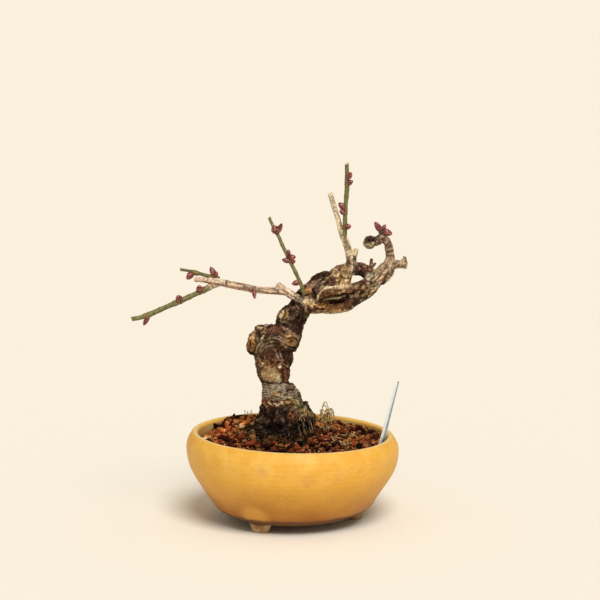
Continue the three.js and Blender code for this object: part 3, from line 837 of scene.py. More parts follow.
def grain_clay(look):
    """Baked clay and volcanic grains: each grain has its own tone, with a rough skin, and is painted dark
    on its underside as shade in the chinks; damp patches and humus darken them, and painted light brightens
    them at the left."""
    f = Finish("baked_clay")
    colour = f.ramp(f.mark("tone") + (f.noise(1.3, 3) - 0.5) * 0.22, CLAY_TONES)
    colour = f.tinted(colour, 0.36 + f.eased(f.noise(0.9, 4), 0.3, 0.7) * 1.1)
    # Painted light: the grains at the left are brighter and have fewer damp patches
    damp = f.eased(f.noise(13, 3), 0.44, 0.56) * (1 - f.near(LIT_LEFT_PART, 42) * 0.8)
    colour = f.tinted(colour, 1.08 + f.near(LIT_LEFT_PART, 45) * 0.2 - damp * 0.6)
    colour = f.mix(colour, look.humus, f.eased(f.mark("humus"), 0.15, 0.75) * 0.8)
    colour = f.patched(colour, "c8b898", 0.8, 2, (0.69, 0.75), 0.4)
    # Painted shade: each grain darkens towards its underside, nearly black at its bottom
    colour = f.mix("0a0402", colour, 0.08 + f.eased(f.mark("rise"), -0.3, 0.5) * 0.92)
    rough = f.noise(0.45, 4)
    return f.finish(
        Base_Color=colour, Roughness=0.72 + rough * 0.2, Normal=f.bump(rough, 0.35), Specular_IOR_Level=0.08
    )


def shaded_bed_earth(look):
    """The earth under the grains: dark crumbly earth, made nearly black as painted shade in the chinks."""
    f = Finish("shaded_bed_earth")
    crumb = f.noise(1.2, 5, rough=0.7)
    colour = f.mix("0b0604", "2a150c", f.eased(crumb, 0.45, 0.7))
    colour = f.mix(colour, look.humus, f.mark("humus") * 0.9)
    return f.finish(Base_Color=colour, Roughness=0.95, Normal=f.bump(crumb, 0.8), Specular_IOR_Level=0)


# Moss, roots and dry grass

STRAND_ROWS = 14
STRAND_SIDES = 5
STALK_ROWS = 22

# Arching tufts: their place, the spread of their bases, the reach and height of the arches, how many
# strands, their radius and curl
TUFTS = [
    ((23, 34), 4, (6, 6), 9, 0.26, 0.7), ((12, 14), 4, (4, 7), 12, 0.24, 0.6),
    ((-33, 46), 2.5, (3, 7), 5, 0.2, 0.5), ((40, 2), 6, (8, 3.5), 12, 0.24, 0.8),
    ((47, -14), 6, (6, 2.5), 8, 0.22, 0.6), ((26, -18), 6, (6, 3), 9, 0.22, 0.7),
    ((22, 6), 5, (5, 5), 9, 0.22, 0.7),
]

# Bent-over stalks: their middle, the spread of their bases, half width and height of the bends, how many
# there are and their radius
STALKS = [
    ((9.5, -14.5, 77), 1.8, (2.6, 6.5), 7, 0.21), ((7, -17, 74), 1.5, (2, 5), 3, 0.2),
    ((24.5, 34, 62), 1.6, (5.4, 16.5), 8, 0.36), ((21, 33, 62), 1.2, (3, 13), 4, 0.34),
]

# Roots that hang from the trunk's foot: their azimuths, and where they leave it and reach the soil
HANGING = {"azimuths": (0.25, 1.15), "top": 19.6, "low": 22.5}
HAIRS = {
    "count": 80, "azimuths": (-2.9, 0.9), "out": (17, 42), "span": (3, 9), "rise": (0.6, 3.4),
    "radius": (0.12, 0.26), "curl": 0.7,
}
MOSS = {
    "cushions": 26, "leaves": 110, "inner": 19, "width": 12, "spread": 1.9, "height": (1.2, 3.0),
    "lean": 0.35, "radius": 0.32,
}


def strands(bases, heads, rise, radius, rng, curl):
    """Thin strands: each follows the cubic a (1 - t)^3 + 3 b t (1 - t)^2 + 3 c t^2 (1 - t) + d t^3 from its
    base a, up by its rise, over and down to its head d, wavering by curl, as a tube that thins towards d."""
    t = np.linspace(0, 1, STRAND_ROWS)[None, :, None]
    lift = np.array([0, 0, 1.0]) * rise[:, None]
    second = bases + lift * 1.2 + rng.normal(0, 0.12, bases.shape) * rise[:, None]
    third = heads + lift * 0.9 + rng.normal(0, 0.2, bases.shape) * rise[:, None]
    a, b, c, d = (points[:, None] for points in (bases, second, third, heads))
    line = a * (1 - t) ** 3 + 3 * b * t * (1 - t) ** 2 + 3 * c * t * t * (1 - t) + d * t ** 3
    turn = rng.uniform(0, TAU, (len(bases), 1, 3)) + t * rng.uniform(5, 11, (len(bases), 1, 3))
    line = line + curl * np.sin(turn) * t
    return strand_shell(line, np.asarray(radius)[:, None] * (1.05 - 0.75 * t[..., 0] ** 2))


def strand_shell(line, radii):
    """Tubes round many lines of one length."""
    rings = rings_along(line, radii, STRAND_SIDES, first=(0.31, 0.93, 0.2))
    count, rows = line.shape[:2]
    ends = rings[:, [0, -1]].mean(axis=2)
    points = np.concatenate([rings.reshape(count, rows * STRAND_SIDES, 3), ends], axis=1)
    return copies(points, closed(rings[0]).faces)


def tuft(place, spread, reach, count, radius, curl, rng):
    """A tuft of strands that arch up and come down further out."""
    x, y = (np.float64(value) for value in place)
    angle = rng.uniform(0, TAU, count)
    base = np.array([x, y, soil_top(x, y) - 1]) + spokes(angle) * spread * rng.uniform(0, 1, (count, 1))
    lean = angle + rng.normal(0, 0.7, count)
    out = rng.uniform(0.5, 1.1, count) * reach[0]
    drop = rng.uniform(0.1, 0.75, count) * reach[1]
    head = base + np.stack([np.cos(lean) * out, np.sin(lean) * out, drop], -1)
    rise = rng.uniform(0.7, 1.1, count) * reach[1]
    return strands(base, head, rise, radius * rng.uniform(0.8, 1.25, count), rng, curl)


def stalks(middle, spread, size, count, radius, rng):
    """Wiry stalks that stand up and bend over: each runs along half an ellipse, (-a cos u, h sin u) for u
    from 0 to 0.9 pi, in an upright plane turned at random, and wavers by 0.5 mm."""
    u = np.linspace(0, 0.9 * math.pi, STALK_ROWS)[None, :, None]
    aside = spokes(rng.uniform(0, TAU, (count, 1)))
    half = rng.uniform(0.5, 1, (count, 1, 1)) * size[0]
    height = rng.uniform(0.55, 1, (count, 1, 1)) * size[1]
    base = np.array(middle) + rng.normal(0, spread, (count, 1, 3)) * (1, 1, 0)
    waver = 0.5 * np.sin(u * rng.uniform(2, 4, (count, 1, 3)) + rng.uniform(0, TAU, (count, 1, 3)))
    line = base - aside * half * np.cos(u) + np.array([0, 0, 1]) * height * np.sin(u) + waver
    return strand_shell(line, np.full(line.shape[:2], radius))


def from_trunk(out, angle):
    """The x and y of places at a distance and an azimuth from the middle of the trunk's foot."""
    return TRUNK_FOOT["x"] + out * np.cos(angle), out * np.sin(angle)


def hanging_roots(count, radius, heights, rng):
    """Thin roots that hang from the right front of the trunk's foot to the soil, a millimetre or two
    outside its skin, as strands."""
    angle = -rng.uniform(*HANGING["azimuths"], count)
    x, y = from_trunk(HANGING["low"] + rng.uniform(0, 2.5, count), angle)
    base = np.stack([x, y, soil_top(x, y) - 0.5], -1)
    angle = angle + rng.normal(0, 0.06, count)
    x, y = from_trunk(HANGING["top"] + rng.uniform(0, 1, count), angle)
    head = np.stack([x, y, rng.uniform(*heights, count)], -1)
    return strands(base, head, rng.uniform(0.5, 4, count), np.full(count, radius), rng, curl=1.0)


def dry_tufts():
    """Dry wiry growth: tufts on the soil, stalks bent over behind the trunk's right and at its root, and a
    few thin hanging roots."""
    rng = draws("tufts")
    shells = [tuft(*row, rng) for row in TUFTS] + [stalks(*row, rng) for row in STALKS]
    return joined([*shells, hanging_roots(5, 0.17, (68, 78), rng)])


def root_hairs():
    """Fine dead roots, as strands: some lying and looping over the humus, in front of and beside the trunk,
    and some hanging from its foot."""
    rng = draws("hairs")
    count = HAIRS["count"]
    angle = rng.uniform(*HAIRS["azimuths"], count)
    out = rng.uniform(*HAIRS["out"], count)
    x, y = HUMUS["x"] + out * np.cos(angle) * 0.8, out * np.sin(angle)
    base = np.stack([x, y, soil_top(x, y)], -1)
    swing = rng.uniform(0, TAU, count)
    span = rng.uniform(*HAIRS["span"], count)
    x, y = x + np.cos(swing) * span, y + np.sin(swing) * span
    head = np.stack([x, y, soil_top(x, y) + rng.uniform(0, 1.2, count)], -1)
    inside = (np.hypot(*head.T[:2]) < REACH["crumbs"]) & (np.hypot(*base.T[:2]) < REACH["crumbs"])
    rise, radius = (rng.uniform(*HAIRS[name], count)[inside] for name in ("rise", "radius"))
    lying = strands(base[inside], head[inside], rise, radius, rng, HAIRS["curl"])
    return joined([lying, hanging_roots(13, 0.24, (66, 80), rng)])


def moss_leaves():
    """Moss: crowded leaning spikes in cushions on the humus, each a small pyramid of three sides, with its
    base corners at (r cos a, r sin a)."""
    rng = draws("moss")
    count = MOSS["cushions"] * MOSS["leaves"]
    turn, share = (rng.uniform(0, 1, (MOSS["cushions"], 2)) * [TAU, 1]).T
    out = MOSS["inner"] + MOSS["width"] * share
    middle = np.stack([HUMUS["x"] + out * np.cos(turn), out * np.sin(turn)], -1)
    spot = np.repeat(middle, MOSS["leaves"], axis=0) + rng.normal(0, MOSS["spread"], (count, 2))
    base = np.column_stack([spot, soil_top(*spot.T) - 0.6])
    height = rng.uniform(*MOSS["height"], count)
    lean = rng.normal(0, MOSS["lean"], (count, 2)) * height[:, None]
    tip = base + np.column_stack([lean, height])
    angle = np.arange(3) * TAU / 3 + rng.uniform(0, TAU, (count, 1))
    ring = base[:, None] + spokes(angle) * MOSS["radius"]
    points = np.concatenate([ring, tip[:, None]], axis=1)
    shell = copies(points, np.array([[0, 2, 1], [0, 1, 3], [1, 2, 3], [2, 0, 3]]))
    return shell.marked(tone=np.repeat(rng.uniform(0, 1, count), 4))


def straw(name, pale, dark):
    """Dry stalks, darker in patches along their length."""
    f = Finish(name)
    patch = f.eased(f.noise(2.5, 3), 0.35, 0.65)
    colour = f.mix(dark, pale, patch)
    return f.finish(Base_Color=colour, Roughness=0.7, Normal=f.bump(f.noise(0.4, 2), 0.05))


def moss_green(look):
    """Dark moss, with some browned leaves."""
    f = Finish("dark_moss")
    colour = f.mix(look.moss, "302613", f.eased(f.mark("tone"), 0.6, 1))
    colour = f.tinted(colour, 0.5 + f.noise(4, 2))
    return f.finish(Base_Color=colour, Roughness=0.85, Specular_IOR_Level=0.04)


# The old wood

LOWER_TRUNK = [
    (-7, 0, 50, 14.5), (-7, 0, 64, 19.5), (-5.8, 0, 75, 19.4), (-7.6, 0, 80, 16.4), (-8, 0.3, 84.5, 14.3),
    (-10.9, 0.8, 89, 11.3), (-11.7, 1, 94, 9.8), (-12.6, 1.5, 99, 9.6), (-13.1, 1.5, 103.5, 10.7),
    (-14, 1.5, 108.5, 11.4), (-13.6, 1, 115, 12.9), (-14.2, 0.5, 121.5, 12.2), (-11.6, 0, 129.5, 14),
    (-10, -0.5, 134.5, 13.4), (-10, -0.5, 138.5, 9.5),
]
UPPER_TRUNK = [
    (-7, 0, 124, 8.5), (-3.2, 0, 134, 9.2), (-1.5, 0.5, 142.5, 9.3), (2.3, 1, 147, 9.1), (6, 1.5, 152, 8.2),
    (8, 1, 158, 7.4), (10.5, 1, 162.5, 6.4),
]
SWELLINGS = [
    ((-25.2, -2, 127), (6.8, 7.4, 8)), ((-27, -2, 123), (5.4, 6.6, 4.8)), ((-19, -3, 134.5), (7.5, 8, 5.6)),
    ((-3.6, -6.5, 130.2), (5.8, 6.2, 5.6)), ((-5.4, -1, 116.2), (5.8, 7, 6)),
    ((-4.6, -5.5, 146.2), (4.2, 4, 4.6)), ((-16.5, 10, 113), (5.5, 5.5, 6)), ((-6, 9.5, 135), (7, 6.5, 6)),
    ((-1.2, -7, 96.2), (3.2, 3.2, 2.8)), ((2, -9, 84), (4.6, 4.6, 6)), ((11, -6, 163.6), (2.8, 3.2, 3)),
    ((9.2, -6.6, 158.6), (3.6, 4, 3.6)), ((-24.4, -3, 137), (2.4, 3, 2.6)),
    ((78.2, -1, 186), (1.3, 1.4, 1.8)),
]
ROLLS = [
    [(5, 2, 154, 7.4), (13.5, 2, 163.6, 6.2), (19, 2, 169.4, 6), (23, 2, 171.3, 5.4), (26.6, 2, 170.8, 5.1),
     (31.8, 2, 174.8, 5.2), (40.2, 2, 178, 4.4), (48.6, 2, 178, 4.2), (53, 1, 175.4, 4.4)],
    [(12.5, -4, 160, 4), (22.6, -6, 163.5, 3.2), (33.1, -6, 165.2, 2.9), (43.6, -5, 166.8, 3.2),
     (54, -2, 168.6, 4.6), (61.4, 0, 173.6, 5.4), (65.4, 1, 178.4, 5.2), (68.4, 2, 183, 4.2)],
    [(8, 2, 157, 6), (17.8, 1, 157.5, 4), (29.7, 1, 159.4, 3.4), (41.6, 0, 160.4, 3), (52, -1, 165.5, 3.4)],
    [(4.5, 0, 152, 6), (10, 0, 153, 6), (17.8, -1, 152, 4.4), (27.6, -2, 151, 3.6), (36.7, -2, 152.4, 3.6),
     (45.1, -2, 157.8, 3.6), (50.8, -2, 161.4, 3.8), (56.5, -1, 168, 4.4)],
    [(8, 5, 160, 6), (20, 7, 163, 4.8), (32, 7.5, 165, 4), (43, 6, 164, 3.4), (54, 3, 168.5, 3.6),
     (60, 2, 174.5, 4)],
    [(10, 2, 160, 6.5), (20, 1.5, 164.5, 5.6), (31, 1.5, 168, 4.6), (36.5, 0, 168.5, 3.6)],
    [(8, 4, 156, 5.5), (20, 5, 156, 4.4), (32, 4.5, 156.5, 3.8), (43, 2.5, 160, 3.5), (52, 0, 166, 3.4)],
    [(42, 1, 186.5, 2.8), (39.2, -1.5, 178.4, 3), (36.6, -4, 170.2, 3.6), (35, -4, 165.5, 3)],
]
CURLED_TWIG = [
    (66.5, 2, 181, 4.2), (68.3, 2, 186.4, 3.1), (68, 3, 190.5, 2.9), (67.1, 4, 194.6, 2.8),
    (65.1, 5.5, 198.4, 2.8), (62.6, 6.5, 199.5, 3.6), (60.2, 7.4, 198.3, 3.4), (57.6, 8, 197.4, 3.6),
    (54.6, 8, 196.6, 4.8),
]
LIMB_END = [(65.5, 2, 179.8, 4.4), (70, 1, 181.6, 3.4), (75.4, 0, 182.4, 3), (79.4, -1, 183, 3.7)]
CROWN_BRANCH = [
    (40.6, 0.5, 178, 4.8), (41, 1, 184, 3.6), (38.8, 1, 192.1, 2.5), (36.5, 1, 199, 2.4),
    (34.8, 1, 202, 2.2), (33.5, 1, 206.2, 2), (31.8, 1, 213.2, 1.9), (29.6, 1, 220.2, 2),
    (27.5, 1, 227.2, 1.9), (26.1, 1, 232.1, 1.9),
]
SIDE_STUB = [(42.2, 1, 181, 2.2), (43.2, 1, 186.5, 1.7), (44.7, 1, 193.2, 1.7)]
SPUR = [(54, 1, 176, 2.1), (54.8, 0.8, 181, 1.4), (55.1, 0.4, 186.3, 1.1)]
SPUR_FORK = [(55, 1, 179.5, 1.2), (58.4, 0, 183.2, 0.95)]
CUT_STUB = [(8, -2, 155, 5), (4.6, -6, 158, 3.6), (-1.2, -8, 161.2, 2.6), (-10.5, -11, 169.4, 2.3)]
LEFT_BRANCH = [
    (0.5, -7.5, 161, 2.8), (-6, -9, 164.3, 2.7), (-15.7, -12, 165.3, 2.4), (-22.6, -13, 165.9, 2.4),
    (-29.5, -14, 167.1, 2.5), (-36.4, -14, 168.6, 2.55), (-43.4, -14, 169.9, 2.4), (-45.8, -14, 170.3, 2.7),
    (-48.4, -14, 170.9, 2.4), (-52, -14, 171.8, 2.5), (-55.8, -14, 172.5, 2.1), (-60.7, -13, 172.9, 1.95),
    (-68.1, -12, 173.2, 1.9),
]
BRANCH_FORK = [
    (-47, -14, 171, 2.2), (-52.4, -14.3, 170.5, 2.4), (-56, -14.8, 169.1, 2.3), (-59.4, -15.7, 167.2, 2.15),
]

# Limbs by name: stations, number of sides, and whether the end is rounded
LIMBS = {
    "lower": (LOWER_TRUNK, 64, False), "upper": (UPPER_TRUNK, 40, False),
    **{f"roll_{i}": (stations, 28, True) for i, stations in enumerate(ROLLS)},
    "curl": (CURLED_TWIG, 24, True), "end": (LIMB_END, 24, False),
    "crown_branch": (CROWN_BRANCH, 20, False), "side_stub": (SIDE_STUB, 16, False),
    "spur": (SPUR, 12, False), "spur_fork": (SPUR_FORK, 12, False), "cut_stub": (CUT_STUB, 20, False),
    "left_branch": (LEFT_BRANCH, 20, False), "branch_fork": (BRANCH_FORK, 20, False),
}
LIMB_NAMES = list(LIMBS)
SPAN_STEPS = 6


def root_lobes(along, angle):
    """The factor on the trunk's radius for its roots: five and three waves round it, dying out upwards."""
    low = np.clip(1 - along / 0.36, 0, None)
    roots = 0.1 * np.cos(5 * angle + 0.6) + 0.05 * np.cos(3 * angle + 2)
    return 1 + low * roots + 0.025 * np.cos(7 * angle)


def limb_shell(name):
    """A limb: rings along its stations, with root lobes on the lower trunk and flutes on the upper."""
    stations, sides, domed = LIMBS[name]
    line, radii = along_stations(stations, SPAN_STEPS)
    if domed:
        line, radii = rounded_end(line, radii)
    along = np.linspace(0, 1, len(line))[:, None]
    angle = turns(sides)
    shapes = {"lower": root_lobes(along, angle), "upper": 1 + 0.05 * np.cos(4 * angle + 5 * along)}
    first = (1, 0, 0) if name in shapes else (0, 1, 0)
    return closed(rings_along(line, radii, sides, first, shapes.get(name, 1)))


def limb_places(points):
    """For each point the number of the limb whose skin it lies nearest to, the distance along that limb,
    the angle round it and the limb's radius there."""
    best = np.full(len(points), FAR)
    found = np.zeros((4, len(points)))
    for number, name in enumerate(LIMB_NAMES):
        line, radii = along_stations(LIMBS[name][0], SPAN_STEPS)
        ahead, side, across = frames_along(line, (0.05, 1, 0.1))
        arc = np.concatenate([[0], np.cumsum(np.linalg.norm(np.diff(line, axis=0), axis=1))])
        reach = np.linalg.norm(points[:, None] - line[None], axis=-1) - radii[None]
        nearest = reach.argmin(axis=1)
        depth = reach[np.arange(len(points)), nearest]
        offset = points - line[nearest]
        spot = np.stack([
            np.full(len(points), number),
            arc[nearest] + (offset * ahead[nearest]).sum(-1),
            np.arctan2((offset * across[nearest]).sum(-1), (offset * side[nearest]).sum(-1)),
            radii[nearest],
        ])
        better = depth < best
        best = np.where(better, depth, best)
        found = np.where(better, spot, found)
    return found


# Scars of cut twigs and old buds, by the way they face: place, radius of the healed ring and its height
SCARS = {
    (0, -1, 0): [
        ((-10.2, -11, 92), 1.9, 0.8), ((-3.2, -13, 87.4), 2.3, 1.0), ((-22.1, -10, 112.5), 1.5, 0.9),
        ((-9.5, -12, 112.1), 1.3, 0.9), ((-0.8, -12, 129.5), 3.8, 1.3), ((-6.4, -9, 147.5), 2.4, 1.1),
        ((61, -3, 178), 1.8, 0.8), ((52, -4, 166), 1.7, 0.8),
    ],
    (0, 1, 0): [
        ((-4, 9, 104), 3.2, 1.2), ((-12, 12, 126), 4.2, 1.3), ((2, 10, 146), 2.6, 1.0),
        ((-18, 8, 92), 2.2, 0.9), ((35, 9, 163), 2.2, 0.8),
    ],
    (1, 0, 0): [((4.5, -3, 137.6), 1.6, 1.0), ((1.5, 3, 121), 2.2, 1.0)],
    (-1, 0, 0): [((-26, 2, 118), 2.4, 1.0)],
}

# Hollows in the skin: middle, half sizes and depth
HOLLOWS = [((13.5, 0, 83.5), (6, 9, 4.5), 2.3)]

# Heights on the lower trunk: where wrinkled rings, arches round a middle and the smooth belly start, are
# full, begin to end and have ended, and between which the foot comes out of the soil
RING_LEVELS = (84, 88, 97, 99)
ARCH_LEVELS = (117, 120, 133, 136)
BELLY_LEVELS = (97, 100, 108, 113)
BURIED_LEVELS = (72, 79)
ARCH_MIDDLE = (-14.3, 113)

# Distances from wrinkle to wrinkle, the radius below which a limb has bands, and how the grain is drawn out
RING_STEP, ARCH_STEP, BAND_STEP = 1.9, 2.3, 2.6
BANDS_BELOW = 4.2
GRAIN_STRETCH = np.array([0.42, 0.42, 0.09])

# Colours of the wood
BARK = {name: linear(code) for name, code in {
    "dark": "3b251b", "brown": "6f4c32", "umber": "5a392c", "grey": "9a8a76",
    "tan": "a88760", "cream": "dcc6a0", "orange": "a96c3a", "rust": "7e4c2c",
    "black": "1c110c", "olive": "6c6444", "pink": "b08b74", "lichen": "c9c1aa",
    "coral": "cf8f6a", "sand": "cbaa7c", "straw": "d3bb90", "gold": "99723f",
    "white": "f2e2c8", "bough": "c5a992", "drab": "a58e76",
    "beige": "ccb898", "taupe": "927c69",
}.items()}

# Broad patches of colour on the wood: middle, half sizes, colour and strength
PATCHES = [
    ((-7, 0, 62), (40, 40, 12), "black", 0.92), ((-17, -8, 84), (9, 12, 6), "rust", 0.6),
    ((7, -8, 83), (7, 12, 8), "olive", 0.45), ((-8, 0, 92), (16, 16, 6.5), "grey", 0.7),
    ((-13.7, -14, 107), (7.5, 12, 5.5), "tan", 0.85), ((-13.5, -14, 103), (8, 12, 3), "cream", 0.5),
    ((-4, -8, 106), (5, 12, 8), "umber", 0.75), ((-14, -8, 114), (14, 14, 3.5), "rust", 0.5),
    ((-15, -10, 124), (11, 14, 9), "brown", 0.5), ((-12, -10, 128), (8, 10, 5), "umber", 0.5),
    ((-17, -5, 138), (12, 12, 3.5), "brown", 0.6), ((-28.5, -6, 128), (3.6, 8, 7), "orange", 0.6),
    ((-1, -12, 130), (4.5, 6, 4.6), "orange", 0.6), ((-6.8, -9, 147.5), (2.6, 5, 3.6), "cream", 0.5),
    ((-2, 0, 152), (16, 16, 10), "dark", 0.75), ((-12, 10, 120), (12, 9, 14), "tan", 0.35),
    ((11, -6, 156), (6, 9, 4), "cream", 0.75), ((13.5, -6, 166.5), (6, 7, 4), "pink", 0.45),
    ((10.8, -8.5, 166), (2.6, 4, 2.6), "orange", 0.85), ((20, -2, 173), (16, 12, 5), "dark", 0.7),
    ((35.5, -5, 172.5), (6, 7, 9), "tan", 0.85), ((32, -6, 167.2), (18, 6, 1.6), "cream", 0.7),
    ((36, -8, 162.5), (20, 8, 3), "brown", 0.6), ((26, -4, 152.5), (17, 9, 4), "orange", 0.4),
    ((30, -2, 148.6), (20, 9, 2.4), "tan", 0.7), ((35, -3, 157), (11, 7, 2.4), "dark", 0.6),
    ((49, -3, 177.5), (7, 6, 3.4), "dark", 0.6), ((54, -3, 173.6), (3, 5, 3.6), "lichen", 0.8),
    ((64, 0, 178), (9, 9, 9), "drab", 0.8), ((66, -2, 173), (8, 9, 3), "tan", 0.5),
    ((75, 0, 182), (7, 7, 6), "drab", 0.8), ((68, 3, 190), (4, 6, 7), "umber", 0.4),
    ((55, 8, 199), (5, 6, 3), "black", 0.8), ((55.5, 8, 194.5), (5, 6, 2.4), "olive", 0.8),
    ((52, -3, 163), (9, 8, 5), "brown", 0.5), ((58, -4, 167), (6, 6, 4), "cream", 0.35),
]

# Limbs with a broad colour of their own
LIMB_COLOURS = {
    "crown_branch": "beige", "side_stub": "beige", "cut_stub": "bough", "left_branch": "bough",
    "branch_fork": "bough", "spur": "brown", "spur_fork": "brown", "curl": "taupe", "end": "drab",
}
